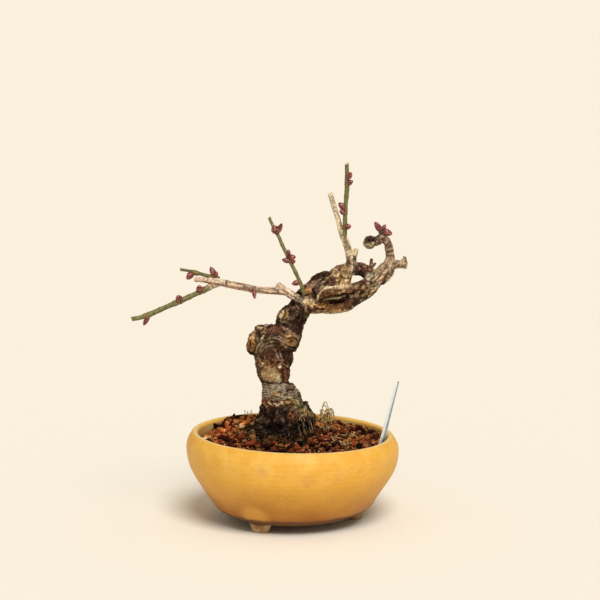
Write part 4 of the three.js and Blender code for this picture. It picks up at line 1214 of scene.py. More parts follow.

# Marks on the front, where they are seen on the upright plane through the bowl's axis: colour, its
# strength, half width, how far the skin is raised or, where negative, cut in, and the lines and dots
# that are drawn so, with x and z by turns. Besides the bark's own colours, the dark marks cut in are
# partly painted shade in its grooves and gaps, and the pale raised ones partly painted highlights on its
# ridges and knobs.
MARKINGS = [
    # The crown limb
    ("cream", 0.8, 0.6, 0.5, [
        (17.5, 157, 18, 160.5, 20, 163, 22.5, 165, 26, 165.5, 29, 166.5, 30.5, 168),
    ]),
    ("tan", 0.5, 0.6, 0.3, [(31, 167, 35.5, 166, 40, 167.5, 45, 168.5, 48.5, 169)]),
    ("rust", 0.35, 2, 0, [(22, 162.5, 28.5, 163.5, 35.5, 164, 42.5, 164.5, 48.5, 166)]),
    ("dark", 0.7, 0.5, -0.5, [
        (24, 161.8), (26.4, 163.6), (30.5, 164.8), (34, 163.2), (38.5, 165.2), (42.6, 164),
    ]),
    ("sand", 0.6, 0.5, 0.3, [(28.4, 163), (32.4, 165.4), (36.4, 163.8), (41, 165.8)]),
    ("rust", 0.45, 1.1, 0, [(20.5, 159.5, 26, 159.5, 32, 160.5, 37.5, 161.5)]),
    ("umber", 0.3, 3, 0, [(42, 164.5, 50, 167.5, 56, 170.5)]),
    ("sand", 0.75, 0.6, 0.4, [
        (44, 166.8, 45.5, 167.2), (48.5, 165.4, 50, 166.4), (52, 169.4, 53.5, 168.6),
        (56, 171, 57.5, 171.6),
    ]),
    ("dark", 0.7, 0.6, -0.5, [
        (46.6, 166, 47.6, 167), (50.6, 168.2, 51.4, 166.6), (54.6, 170, 55, 168.4),
    ]),
    ("cream", 0.85, 0.6, 0.45, [(22, 157, 27, 158, 32, 158.5, 36.5, 160)]),
    ("straw", 0.85, 0.8, 0.4, [(41, 159.5, 43.5, 160.5, 46.5, 163)]),
    ("dark", 0.7, 1, -0.5, [(27, 155.5, 30, 155, 34.5, 156)]),
    ("umber", 0.75, 1.2, -0.4, [(35, 156, 39.5, 156.5, 43, 157)]),
    ("gold", 0.6, 1.6, 0.2, [(17, 154.5, 21, 153, 25, 151.5)]),
    ("black", 0.6, 0.5, -0.5, [(18.5, 150, 22.5, 150.5, 27, 150)]),
    ("brown", 0.65, 1.7, 0, [(31, 151.5, 36, 152.5, 40, 154.5)]),
    ("straw", 0.6, 0.7, 0.2, [(17, 148.5, 22.5, 147.5, 28.5, 147.5, 34, 148)]),
    ("dark", 0.8, 2.4, 0, [(13, 172, 17, 174, 22, 174.5, 25, 173)]),
    ("pink", 0.6, 2.1, 0, [(12, 167.5, 15.5, 169, 20, 168.5)]),
    ("coral", 0.75, 1.8, 0.8, [(11.6, 165)]),
    ("rust", 0.6, 1.5, 0, [(11, 160.5)]),
    # A dark gap between the knob and the limb, painted as shade
    ("black", 0.92, 1.2, -1.2, [(14.5, 164.5, 15.5, 161, 15.5, 157.5)]),
    ("sand", 0.85, 2, 0.2, [(10, 154.5, 13, 154.5)]),
    ("umber", 0.9, 2.5, 0.7, [(27, 169.5)]),
    ("black", 0.6, 0.5, -0.6, [(24, 170.5, 25, 167.5, 27.5, 166.5, 30.5, 168.5)]),
    ("tan", 0.5, 0.7, 0.2, [(29, 174.5, 32, 172, 31.5, 169)]),
    ("tan", 0.7, 2.6, 0.3, [(37.5, 179, 36.5, 175.5, 34.5, 170.5)]),
    ("umber", 0.6, 1.3, 0, [(37.5, 184.5, 39, 181.5)]),
    ("straw", 0.5, 0.6, 0.4, [(34.5, 178, 32, 174.5, 30.5, 171)]),
    ("sand", 0.5, 0.8, 0.4, [(31, 178.5, 27, 174.5, 23.5, 171.5)]),
    ("brown", 0.7, 0.4, -0.6, [(33, 178.5, 29.5, 174.5, 27.5, 171)]),
    ("grey", 0.5, 1.1, 0, [(40.5, 181, 40.5, 177)]),
    ("sand", 0.8, 1.5, 0.9, [(35.5, 174.8)]),
    ("tan", 0.8, 1.3, 0.8, [(33.2, 171.4)]),
    ("straw", 0.8, 1.2, 0.7, [(37.4, 170.6)]),
    ("sand", 0.7, 1, 0.5, [(39.6, 173.6)]),
    ("dark", 0.7, 0.5, -0.7, [
        (32.5, 177.4, 35, 176.8, 37.8, 177.8), (34.2, 173, 36.2, 172.6, 39, 171.8),
    ]),
    ("umber", 0.8, 2.5, 0, [(45.5, 180.5, 50, 179.5, 53.5, 178)]),
    ("black", 0.6, 0.4, -0.5, [
        (45.5, 181.5, 44.5, 177.5), (48, 181.5, 47.5, 176.5), (50.5, 181, 50, 175.5),
        (52.5, 180.5, 52.5, 175.5),
    ]),
    ("pink", 0.6, 0.5, 0.3, [
        (46.4, 179.8, 47.2, 179), (49.8, 180.8, 50.8, 180.2), (53.4, 179, 54.2, 178),
    ]),
    ("lichen", 0.75, 1.1, 0.3, [(54, 175, 53, 172)]),
    ("drab", 0.7, 3.5, 0, [(59, 173, 62.5, 177.5, 66.5, 182.5)]),
    ("cream", 0.55, 0.7, 0.3, [(57.5, 173.5, 60.5, 177.5, 64, 183)]),
    ("brown", 0.7, 0.5, -0.6, [(59.5, 172, 62.5, 176, 66, 182)]),
    ("cream", 0.5, 0.6, 0.3, [(61.5, 172.5, 64.5, 176.5, 68, 181)]),
    ("brown", 0.7, 0.4, -0.6, [(63, 171, 66, 174.5, 69.5, 179.5)]),
    ("brown", 0.6, 0.6, -0.5, [(65.5, 181, 66.5, 179)]),
    ("brown", 0.6, 0.6, -0.4, [(66.5, 174.5, 65.5, 172.5)]),
    ("pink", 0.5, 1.1, 0, [(60, 170.5, 62.5, 170.5)]),
    ("straw", 0.75, 0.8, 0.3, [(55.5, 167, 58.5, 168.5)]),
    ("black", 0.6, 0.4, -0.5, [(56.5, 165.5, 58.5, 167)]),
    ("sand", 0.7, 1.3, 0.6, [(49.5, 160, 51.5, 161.5)]),
    ("black", 0.7, 0.6, -0.7, [(48, 164, 50, 162.5, 52, 159, 52.5, 157.5)]),
    ("olive", 0.6, 0.7, -0.3, [(45, 158.5, 48, 157.5, 51.5, 157)]),
    # The dome and its two knobs
    ("straw", 0.8, 0.8, 0.5, [(-24.5, 138, -22, 137)]),
    ("straw", 0.8, 0.7, 0.5, [(-20, 138.5, -18, 139)]),
    ("black", 0.7, 0.4, -0.6, [(-21.5, 139, -19.5, 138, -17.5, 137.5, -14, 139)]),
    ("umber", 0.85, 2.5, 0, [(-15, 134.5, -11, 135, -7, 134.5)]),
    ("pink", 0.5, 1.1, 0.2, [(-6, 137, -2, 134, 0.5, 133)]),
    ("cream", 0.9, 0.6, 0.5, [(-20.5, 131.5, -22, 129)]),
    ("olive", 0.3, 3.5, 0, [(-23.5, 123, -21, 126, -16.5, 127, -14, 125)]),
    ("grey", 0.6, 0.4, 0.45, [
        (-25.5, 121.5, -24.5, 124.5, -21.5, 127, -17.5, 129, -13, 130, -9.5, 129, -7, 126.5, -5.5, 123.5),
    ]),
    ("grey", 0.5, 0.4, 0.4, [
        (-24, 120, -23, 123, -20, 125.5, -16.5, 127, -13, 127),
        (-22.5, 119.5, -20.5, 122, -17.5, 124, -14, 124),
    ]),
    ("grey", 0.6, 0.4, 0.4, [(-13, 131, -9.5, 131, -7, 129, -4, 125.5)]),
    ("black", 0.5, 0.4, -0.4, [(-24.5, 120.5, -23.5, 124, -21, 126.5, -17, 128, -13, 128.5)]),
    ("dark", 0.8, 2.8, 0, [(-11, 125, -8, 122, -4.5, 119.5)]),
    ("gold", 0.45, 2.6, 0.2, [(-28.5, 128, -28.5, 123)]),
    ("dark", 0.7, 0.5, -0.6, [(-29.5, 127, -27, 125.5, -28.5, 122)]),
    ("sand", 0.85, 1.1, 0.3, [(-29.5, 130, -27.5, 130)]),
    ("black", 0.8, 0.4, -0.6, [(-30, 128, -29.5, 125, -29.5, 122)]),
    ("black", 0.85, 0.5, -0.8, [(-26, 130.5, -26.5, 128, -25, 126, -26.5, 123, -27, 120)]),
    ("black", 0.8, 0.6, -0.5, [(-30, 119.5, -27, 118.5)]),
    ("olive", 0.6, 1.4, 0, [(-30.5, 133, -28, 135)]),
    ("orange", 0.45, 2.6, 0.4, [(-1, 128)]),
    ("dark", 0.75, 0.5, -0.6, [(-2.5, 129.5, -1, 128, -1.5, 126)]),
    ("dark", 0.75, 0.5, -0.5, [(-1, 128, 1, 127)]),
    ("sand", 0.9, 0.6, 0.4, [(1.5, 127.5), (-2, 128)]),
    ("black", 0.85, 0.5, -0.8, [(-4, 129.5, -1, 130, 1.5, 129.5, 3, 128, 2.5, 125)]),
    ("black", 0.85, 0.8, -0.6, [(-3.5, 124.5, -1, 124, 1.5, 123)]),
    ("black", 0.6, 0.5, -0.6, [(-4.5, 128.5, -4.5, 125.5)]),
    ("pink", 0.6, 0.8, 0.1, [(-1, 131.5, 2, 131)]),
    # The upper trunk
    ("dark", 0.75, 4.2, 0, [(0.5, 145.5, 1, 140, 3, 135.5)]),
    ("straw", 0.85, 0.7, 0.7, [(-6, 148.5, -7.5, 146.5, -8, 144.5)]),
    ("black", 0.9, 0.6, -0.9, [(-5, 149, -5.5, 146.5, -7, 143.5)]),
    ("gold", 0.7, 0.8, 0.2, [(-4, 148, -4, 146, -5.5, 143.5)]),
    ("black", 0.85, 0.6, -0.8, [(-2, 149, -2, 146.5, -4, 143.5, -7, 142)]),
    ("pink", 0.25, 0.5, 0.5, [(-2, 152, 0.5, 150, 4, 148.5)]),
    ("pink", 0.25, 0.5, 0.4, [(2.5, 153.5, 4, 150.5)]),
    ("dark", 0.85, 2.2, 0, [(11.5, 151, 10, 146, 8.5, 141, 6.5, 136.5)]),
    ("black", 0.7, 0.5, -0.7, [
        (-1, 148.5, 0, 144, -2, 139), (4.5, 149, 4, 144, 2.5, 138.5), (7.5, 148.5, 7, 143, 5.5, 137),
    ]),
    ("olive", 0.6, 0.6, 0.3, [(-6, 142, -3.5, 141, -1, 139), (8.5, 144.5, 10.5, 145.5)]),
    # The middle of the trunk
    ("umber", 0.75, 3.5, 0, [(-21.5, 116.5, -16, 118, -11.5, 118.5)]),
    ("olive", 0.55, 1.4, 0, [(-25, 119.5, -24.5, 115)]),
    ("grey", 0.7, 0.4, 0.6, [
        (-12.5, 121.5, -11, 118, -9.5, 115, -8, 113.5), (-9.5, 120, -8, 117, -7, 114.5),
    ]),
    ("black", 0.75, 0.4, -0.7, [
        (-10.5, 120.5, -9.5, 117.5, -8, 114.5), (-7, 119.5, -6, 116, -4.5, 113.5),
    ]),
    ("dark", 0.7, 2.1, 0, [(-3.5, 120, -2, 115.5, -2.5, 112)]),
    ("grey", 0.65, 0.4, 0.4, [(-8.5, 112.5, -6, 110.5, -3.5, 109)]),
    ("black", 0.75, 0.5, -0.7, [(-8, 111, -5.5, 109, -3, 108)]),
    ("gold", 0.25, 3, 0, [(-19, 112, -16.5, 110)]),
    ("pink", 0.35, 3.2, 0, [(-18, 107, -13, 105)]),
    ("tan", 0.9, 4.4, 0, [(-18, 105.5, -14, 103.5)]),
    ("sand", 0.5, 3.6, 0, [(-18, 105, -13.5, 104)]),
    ("cream", 0.45, 1.6, 0, [(-12.5, 103, -9, 99.5)]),
    ("brown", 0.7, 1, 0, [(-24.5, 112, -24.5, 108, -23, 104)]),
    ("rust", 0.6, 2.1, 0, [(-6, 107, -5, 103, -4.5, 99)]),
    ("black", 0.6, 0.4, -0.5, [(-7, 107, -6, 103, -5.5, 100), (-4, 107, -3.5, 103)]),
    ("white", 0.97, 0.9, 1, [(-9.5, 110)]),
    ("cream", 0.95, 0.8, 0.8, [(-21, 111.5, -22, 110)]),
    ("black", 0.6, 0.5, -0.6, [(-11.5, 111.5, -11.5, 109, -9.5, 107.5)]),
    # The foot
    ("black", 0.8, 0.5, -1.1, [(-21, 99, -17.5, 97.5, -13, 97, -9.5, 97, -6, 98, -2, 97.5)]),
    ("grey", 0.85, 2.5, 0.2, [(-17.5, 94, -12, 94.5, -6, 95)]),
    ("brown", 0.5, 0.4, -0.4, [(-18.5, 95.5, -15.5, 93, -12, 93)]),
    ("tan", 0.85, 1.8, 0.5, [(-13, 90, -10.5, 90)]),
    ("black", 0.85, 0.6, -0.9, [(-9.5, 91.5, -8, 90.5, -8.5, 89)]),
    ("black", 0.8, 0.6, -0.8, [(-12, 87.5, -10, 87.5)]),
    ("gold", 0.85, 1.8, 0.4, [(-4, 84, -2, 84.5)]),
    ("black", 0.8, 0.5, -0.7, [(-6, 85, -4, 86, -1.5, 85.5, -0.5, 84, -1.5, 82.5, -4.5, 82, -6, 83.5)]),
    ("cream", 0.7, 0.5, 0.5, [(-6.5, 86.5, -4, 87.5, -1, 87)]),
    ("cream", 0.85, 0.7, 0.6, [(-16.5, 84, -15, 82), (-13, 83.5, -12, 82.5), (-11.5, 81.5, -9.5, 83)]),
    ("cream", 0.7, 0.6, 0.4, [(-8, 84.5, -7, 82.5)]),
    ("black", 0.75, 0.5, -0.7, [(-15, 85, -14.5, 83.5, -11, 84.5)]),
    ("rust", 0.75, 1.6, 0.2, [(-21, 85.5, -19.5, 82.5)]),
    ("olive", 0.6, 2.6, 0, [(2, 86.5, 4.5, 82, 7, 78.5)]),
    ("dark", 0.85, 1.6, 0, [(5, 90, 9, 85.5, 13, 80, 15, 76)]),
    ("black", 0.7, 0.5, -0.7, [(1, 88, 4, 85, 6.5, 80.5, 8, 76)]),
    ("straw", 0.5, 0.5, 0.4, [(2.5, 86, 5, 82.5, 7.5, 78)]),
    ("black", 0.9, 3.9, -0.3, [(-20.5, 77.5, -13, 77.5, -6, 77.5)]),
    ("rust", 0.6, 1.3, 0.2, [(-2.5, 75.5, 3, 73.5)]),
    ("rust", 0.6, 1, 0.3, [(-4, 72.5, 4, 71.5)]),
    ("pink", 0.3, 1.3, 0.4, [(-8, 72, -6.5, 69, -5.5, 66)]),
    # The left branch, the cut stub and the crown branch
    # Painted highlights along the left branch and the crown branch
    ("white", 0.4, 1.9, 0, [(-60, 172.4, -53, 171.2, -47, 170.2)]),
    ("white", 0.4, 1.6, 0, [(26.4, 230.5, 29.5, 219.5, 32.6, 208.5)]),
    # Painted shade along the underside of the left branch
    ("brown", 0.75, 0.6, 0, [(-62, 169.5, -52, 168, -44.6, 166.8, -30, 164.6, -16.2, 161.6, -8, 160.3)]),
    ("umber", 0.8, 1.1, 0, [(-46.6, 171.5, -46, 168)]),
    ("brown", 0.6, 0.4, -0.3, [(-45, 170.5, -38, 168.5, -30, 167.6)]),
    ("umber", 0.7, 0.7, 0, [(-26.5, 168, -26.5, 166)]),
    ("brown", 0.5, 0.4, -0.3, [(-24, 165.5, -16, 164.5)]),
    # A painted highlight along the top of the cut stub, and painted shadow lines beneath it
    ("white", 0.6, 0.5, 0.2, [(-12, 169.7, -5, 165, 2, 160, 8.5, 155.5)]),
    ("dark", 0.8, 0.5, -0.5, [(-13.6, 166, -9.5, 161.6, -2, 157, 5, 153.8)]),
    ("brown", 0.7, 0.4, -0.4, [(-7.5, 164.3, -1, 160, 5.2, 156.7)]),
    ("umber", 0.5, 0.5, -0.2, [(31.6, 222.5, 34.2, 211, 36.5, 202, 39.5, 194)]),
    ("umber", 0.6, 0.5, 0.3, [(26.3, 223.6)]),
    ("umber", 0.6, 1.2, 0, [(33.6, 211.5, 34.2, 207.5)]),
    ("brown", 0.6, 0.4, -0.3, [(35.5, 200, 38.5, 191)]),
    ("dark", 0.6, 0.5, -0.3, [(37.5, 188, 39.5, 184, 38.5, 180)]),
    ("umber", 0.75, 1.2, 0, [(79.5, 186, 80.5, 182.5)]),
    # The curled twig
    ("umber", 0.5, 2.2, 0, [(65.5, 199, 68.5, 194.8)]),
    ("pink", 0.45, 1.9, 0, [(69.5, 192.2, 69.3, 189.2)]),
    ("dark", 0.8, 2.1, 0, [(52, 199.5, 54.5, 199.5)]),
    ("olive", 0.8, 1.3, 0, [(52, 195.5, 54.5, 195)]),
    ("umber", 0.7, 0.6, -0.4, [(64.5, 201.5, 63, 197.5)]),
    ("dark", 0.6, 0.5, -0.4, [(68, 198.5, 65, 195.5)]),
    ("umber", 0.6, 0.6, -0.4, [(70, 195.5, 66, 193.5)]),
    ("dark", 0.5, 0.5, -0.4, [(71, 192, 66.5, 191)]),
    ("umber", 0.8, 0.6, -0.4, [(71.5, 188.5, 66.5, 188)]),
    ("cream", 0.4, 0.6, 0.3, [(70.5, 190.3, 68.5, 189.8)]),
    ("cream", 0.3, 0.6, 0.3, [(69.5, 193.8, 67.5, 192.8)]),
    ("cream", 0.35, 0.8, 0.3, [(66.5, 199.5, 65.5, 197.5)]),
    ("umber", 0.7, 0.5, -0.4, [(60.5, 200.5, 60.5, 197)]),
    ("dark", 0.7, 0.5, -0.4, [(57.5, 200.5, 58, 196)]),
    ("straw", 0.4, 0.7, 0.2, [(49.8, 198, 50.5, 194.5, 54, 192.5)]),
]


def scar_effect(points, normals):
    """For all scars together, the lift of the skin and the shares of ring and of eye at each point: a
    healed ring stands proud round a sunken eye, measured square to the way that the scar faces."""
    lift = np.zeros(len(points))
    ring_share = np.zeros(len(points))
    eye_share = np.zeros(len(points))
    scars = [(np.array(facing, float), *scar) for facing, scars in SCARS.items() for scar in scars]
    for facing, place, radius, height in scars:
        offset = points - np.array(place)
        depth = offset @ facing
        reach = np.linalg.norm(offset - depth[:, None] * facing, axis=1) / radius
        seen = eased(0.05, 0.4, normals @ facing) * (np.abs(depth) < 9)
        ring = np.exp(-((reach - 0.95) / 0.38) ** 2) * seen
        eye = np.exp(-(reach / 0.48) ** 2) * seen
        lift += height * ring - 0.9 * height * eye
        ring_share = np.maximum(ring_share, ring)
        eye_share = np.maximum(eye_share, eye)
    return lift, ring_share, eye_share


def seen_from_front(points):
    """Where points lie on the upright plane through the bowl's axis, as they are seen from the front: each
    is carried along the line from the viewer's eye to that plane."""
    eye = np.array(CAMERA["place"])
    return (eye + (points - eye) * (eye[1] / (eye[1] - points[:, 1]))[:, None])[:, [0, 2]]


def line_distance(points, corners):
    """How far points of a plane lie from the nearest part of a line through corners, or from a dot."""
    nearest = np.full(len(points), FAR)
    for start, end in itertools.pairwise(corners if len(corners) > 1 else [*corners, *corners]):
        span = end - start
        part = np.clip((points - start) @ span / max(span @ span, 1e-9), 0, 1)
        nearest = np.minimum(nearest, np.linalg.norm(points - start - part[:, None] * span, axis=1))
    return nearest


def drawn_marks(points, normals, colours):
    """The lift of the skin from the marks on the front, and the colours with those marks over them: each
    mark fades out at its half width, with a ragged edge, and where the skin turns away."""
    seen = seen_from_front(points)
    ragged = 0.5 * layered(points / 1.6, 2, 120)
    facing = eased(0.0, 0.3, -normals[:, 1])
    lift = np.zeros(len(points))
    shown = np.zeros(len(points))
    marks = [(*style, np.reshape(line, (-1, 2))) for *style, lines in MARKINGS for line in lines]
    for colour, strength, half_width, height, line in marks:
        reach = 1.5 * half_width + 1
        low, high = np.min(line, axis=0) - reach, np.max(line, axis=0) + reach
        near = np.flatnonzero(((seen > low) & (seen < high)).all(axis=1) & (facing > 0))
        out = line_distance(seen[near], line) / half_width
        share = facing[near] * (1 - eased(0.6, 1.4, out + ragged[near] * min(1, half_width)))
        lift[near] += height * facing[near] * np.exp(-out ** 2)
        colours[near] = blended(colours[near], BARK[colour], share * strength)
        shown[near] = np.maximum(shown[near], share * strength)
    return lift, shown, colours


def zone(z, levels):
    """1 between the middle two of four heights, 0 beyond the outer two, and a smooth S on both sides."""
    start, full, fading, end = levels
    return eased(start, full, z) * (1 - eased(fading, end, z))


def trunk_wrinkles(points, normals, is_lower):
    """Wrinkles of the lower trunk and how little of the knobs they leave: sin(TAU z / RING_STEP) round its
    waist, sin(TAU r / ARCH_STEP) at distances r from a point on its front, and a nearly smooth belly."""
    x, _, z = points.T
    waver = 1.4 * noise(points / 6, 9)
    front = eased(0.1, 0.5, -normals[:, 1])
    rings = np.sin((z + 1.4 * waver) * TAU / RING_STEP) * eased(-0.7, 0.2, noise(points / 5, 12))
    reach = np.hypot(x - ARCH_MIDDLE[0], z - ARCH_MIDDLE[1])
    arches = np.sin((reach + 0.9 * waver) * TAU / ARCH_STEP) * eased(-0.4, 0.5, noise(points / 5, 13))
    ring_zone = is_lower * zone(z, RING_LEVELS)
    arch_zone = is_lower * zone(z, ARCH_LEVELS) * front
    belly = is_lower * zone(z, BELLY_LEVELS) * front
    wrinkles = ring_zone * rings + arch_zone * arches + 0.5 * belly * rings
    return wrinkles, 1 - 0.6 * np.clip(ring_zone + arch_zone + 1.2 * belly, 0, 1)


def bark_relief(points, normals, spots):
    """The bark's height above the fused wood, in millimetres, and the shares that its colours go by.

    Knobs and grit are lumps parted by creases, in bent space; grain is the same drawn out along the limb.
    To these come broad swells, the trunk's wrinkles, bands round thin limbs, hollows and scars."""
    number, along, angle, radius = spots
    stout = np.clip((radius - 1) / 4.4, 0.15, 1)
    is_lower = number == LIMB_NAMES.index("lower")
    round_it = np.stack([np.cos(angle) * radius, np.sin(angle) * radius, along], -1)
    swells = layered(points / 8, 2, 3)
    knobs = creased(warped(points, 5, 30) / 4.6, 3, 21)
    grit = creased(warped(points, 3, 33) / 2.5, 2, 24)
    grain = creased(round_it * GRAIN_STRETCH + number[:, None] * 9 + 0.3 * swells[:, None], 3, 17)
    wrinkles, calm = trunk_wrinkles(points, normals, is_lower)
    buried = is_lower * (1 - eased(*BURIED_LEVELS, points[:, 2] + 2 * swells))
    scar_lift, ring_share, eye_share = scar_effect(points, normals)
    calm = calm * (1 - np.clip(ring_share + eye_share, 0, 1) * 0.8)
    drawn_out = 0.26 + 0.16 * (1 - is_lower)
    rise = (0.54 * knobs + 0.46 * grit) * (1 - drawn_out) + drawn_out * grain
    bands = np.sin(along * TAU / BAND_STEP + 2.2 * noise(points / 3, 14)) * (radius < BANDS_BELOW)
    lift = stout * (0.9 * swells + calm * 2.6 * (rise - 0.5) + 0.24 * wrinkles) + 0.09 * bands
    for middle, half, depth in HOLLOWS:
        lift -= depth * np.exp(-(((points - np.array(middle)) / np.array(half)) ** 2).sum(axis=1))
    shares = {
        "rise": np.clip(0.5 + calm * (rise - 0.5) * 1.5 + 0.16 * wrinkles + 0.1 * bands, 0, 1),
        "ring": ring_share, "eye": eye_share, "buried": buried,
        "calm": np.clip((1 - calm) / 0.6 + eased(3.6, 2.4, radius) + 0.3 * buried, 0, 1),
    }
    return lift + scar_lift * np.clip(stout * 1.4, 0, 1), shares


def bark_colours(points, spots, shares, look):
    """The wood's broad colours: browns by layered noise, the patches, and scars."""
    number = spots[0]
    colours = blended(np.array(look.dark_bark)[None], np.array(look.brown_bark), eased(
        -0.35, 0.4, layered(points / 7, 4, 70)))
    for name, colour in LIMB_COLOURS.items():
        colours = blended(colours, BARK[colour], (number == LIMB_NAMES.index(name)) * 0.9)
    ragged = 0.5 * layered(points / 3.2, 4, 80)
    for middle, half, colour, strength in PATCHES:
        reach = np.linalg.norm((points - np.array(middle)) / np.array(half), axis=1)
        colours = blended(colours, BARK[colour], strength * (1 - eased(0.7, 1.2, reach + ragged)))
    colours = blended(colours, BARK["sand"], shares["ring"] * 0.5)
    return blended(colours, BARK["black"], shares["eye"] * 0.8)


def shaded_and_weathered(points, spots, shares, colours, shown):
    """The colours painted darker in the creases as shade, most of all where the foot is buried, and paler on
    some of the knobs, partly pale flakes and partly painted highlight; less so on thin limbs and on marks."""
    thin = 1 - np.clip(spots[3] / 5, 0.25, 1)
    rise = shares["rise"] + 0.3 * layered(points / 1.2, 2, 95)
    shade = 0.22 + 1.45 * eased(0.15, 0.85, rise)
    shade = blended(shade, 1.0, np.clip(0.6 * thin + 0.35 * shown, 0, 0.9))
    pale = eased(0.66, 0.92, rise) * eased(-0.1, 0.5, layered(points / 5, 2, 90))
    pale = pale * eased(70, 84, points[:, 2])
    shade = blended(shade, 0.05 + 1.2 * eased(0.35, 0.95, rise), shares["buried"] * (1 - 0.6 * shown))
    return blended(colours * shade[:, None], BARK["cream"], pale * 0.6 * (1 - 0.7 * shown))


def old_wood(look):
    """The trunk and its limbs: knobs and tubes fused into one skin, smoothed, and raised by the bark."""
    points, faces = ball(3)
    knobs = [Shell(points * np.array(radii) + np.array(middle), faces) for middle, radii in SWELLINGS]
    wood = joined([limb_shell(name) for name in LIMB_NAMES] + knobs)
    points, faces = fused(wood, look.voxel)
    points = smoothed(points, faces, 2)
    normals = normals_of(points, faces)
    spots = limb_places(points)
    lift, shares = bark_relief(points, normals, spots)
    colours = bark_colours(points, spots, shares, look)
    drawn, shown, colours = drawn_marks(points, normals, colours)
    colours = shaded_and_weathered(points, spots, shares, colours, shown)
    points = points + normals * ((lift + drawn) * look.relief)[:, None]
    return Shell(points, faces, bark=colours, calm=shares["calm"])


def bark():
    """Old bark: the colours that the skin carries, broken up by fine flakes, cracks and specks."""
    f = Finish("old_bark")
    fine = f.noise(1.5, 4, rough=0.75)
    rough_part = 1 - f.mark("calm") * 0.75
    grain = f.eased(fine, 0.32, 0.68) - 0.5
    crack = (1 - f.eased(f.math("ABSOLUTE", f.noise(2.4, 2) - 0.5), 0, 0.035)) * rough_part
    colour = f.tinted(f.mark("bark", "Color"), 1 + grain * (0.3 + rough_part * 0.9))
    speck = f.eased(f.noise(0.8, 2), 0.64, 0.74) * rough_part
    colour = f.mix(colour, "d0b88e", speck * 0.3)
    colour = f.mix(colour, "1a100b", crack * 0.55)
    return f.finish(
        Base_Color=colour, Roughness=0.62 + fine * 0.25, Normal=f.bump(fine - crack * 0.4, 0.5),
        Specular_IOR_Level=0.06,
    )


# The shoots and their buds: each stem from its seat on the old wood to its cut end, [x, y, z, radius],
# and each bud as its seat, its tip and its greatest radius

SHOOTS = {
    "shoot_crown": (
        [(36.2, 0.6, 202.2, 1.8), (36.5, 0, 209.8, 1.6), (36.7, -1.5, 220.5, 1.5), (37.2, -2.5, 227.6, 1.5),
         (37.8, -3.5, 236, 1.7), (37.8, -4, 241.6, 1.5), (37.5, -6, 253.2, 1.4)],
        [((38, -4, 243), (40.6, -6.6, 247), 2.3), ((37.8, -3.8, 238.8), (41.8, -5.6, 241.2), 2),
         ((36.6, -1.6, 221.2), (32, -2.6, 225.6), 2.3), ((36.6, -1.4, 218.2), (32.8, -3.8, 220.6), 2.1),
         ((36.6, 0, 208.4), (40.6, -2.8, 209.4), 2.2)],
    ),
    "shoot_middle": (
        [(8.2, -9, 162, 1.4), (7.2, -9, 166, 1.35), (5.4, -8.4, 170.1, 1.3), (2.6, -7, 176.3, 1.3),
         (-1.1, -5, 183.7, 1.3), (-4.1, -3, 189.8, 1.3), (-6.9, -1, 195.2, 1.25), (-9.6, 1, 201.3, 1.2),
         (-12.2, 3, 206, 1.2), (-14.8, 5, 210.7, 1.1), (-16.4, 6, 214.4, 1.1)],
        [((-11.6, 2.8, 205.4), (-12.6, -3.6, 208), 3), ((-10.6, 2, 204), (-7.4, 0, 211), 1.9),
         ((-3.5, -3.4, 188.4), (-2.6, -7.6, 193.2), 1.9), ((-2.9, -3.8, 187.2), (2.2, -5.8, 188.2), 2.2),
         ((-1.1, -4.6, 184.4), (2, -7.4, 185.2), 1.6), ((-1.9, -4.8, 185), (-7.4, -6.2, 186.2), 1.9),
         ((4.8, -8, 170.8), (-0.6, -9.8, 169.6), 2)],
    ),
    "shoot_left_upper": (
        [(-50.8, -13.8, 174.1, 1.4), (-57.3, -12, 175.3, 1.35), (-64.3, -10, 176.8, 1.3),
         (-68, -8.8, 177.4, 1.7), (-71.4, -7.8, 178.4, 1.1), (-78.3, -5, 179.2, 1.05)],
        [((-69.4, -8.8, 177.6), (-73.4, -12.8, 173.4), 2.4), ((-54, -12.6, 176), (-57, -12.6, 182), 2.1),
         ((-54.2, -12.8, 174.8), (-52.2, -14.6, 178.9), 1.9)],
    ),
    "shoot_left_lower": (
        [(-56.8, -15, 168.7, 2.1), (-60, -15.9, 166.9, 2.1), (-64.1, -17, 165.1, 1.8),
         (-70.9, -19, 162.2, 1.75), (-77.7, -21, 159.3, 2), (-84.6, -22.5, 156.5, 1.75),
         (-91.4, -24, 153.7, 1.7), (-98.2, -25.5, 150.8, 1.85), (-105, -27, 148.7, 1.6),
         (-110.8, -28, 147.8, 1.55)],
        [((-64.2, -17.2, 164.8), (-64.6, -20, 170.2), 2.4),
         ((-61.9, -16.4, 165.6), (-61.4, -17, 169.2), 1.6),
         ((-77.6, -21.2, 159.4), (-79, -25.4, 163.6), 2.5), ((-99, -26, 150), (-102.8, -26.6, 143), 1.8)],
    ),
}
BUD_BUNCH = (
    [(62.3, 6.6, 203.4, 1.9), (62, 6.6, 205.6, 1.7)],
    [((61.8, 6.6, 204.6), (57.4, 5.6, 211.4), 2.2), ((62.4, 6.8, 204.8), (65.2, 8.6, 209.2), 1.7),
     ((62.8, 6.4, 204.8), (69.8, 4.8, 202.8), 2.6)],
)
OLD_WOOD_BUDS = [
    ((-26.8, -14, 165.6), (-26.2, -15.4, 160), 1.5), ((-28, -13.8, 166.6), (-29.4, -17.4, 165.2), 1.7),
]


# How far apart a stem's nodes are, and how many sides it has
NODE_SPACING = 11
STEM_SIDES = 20


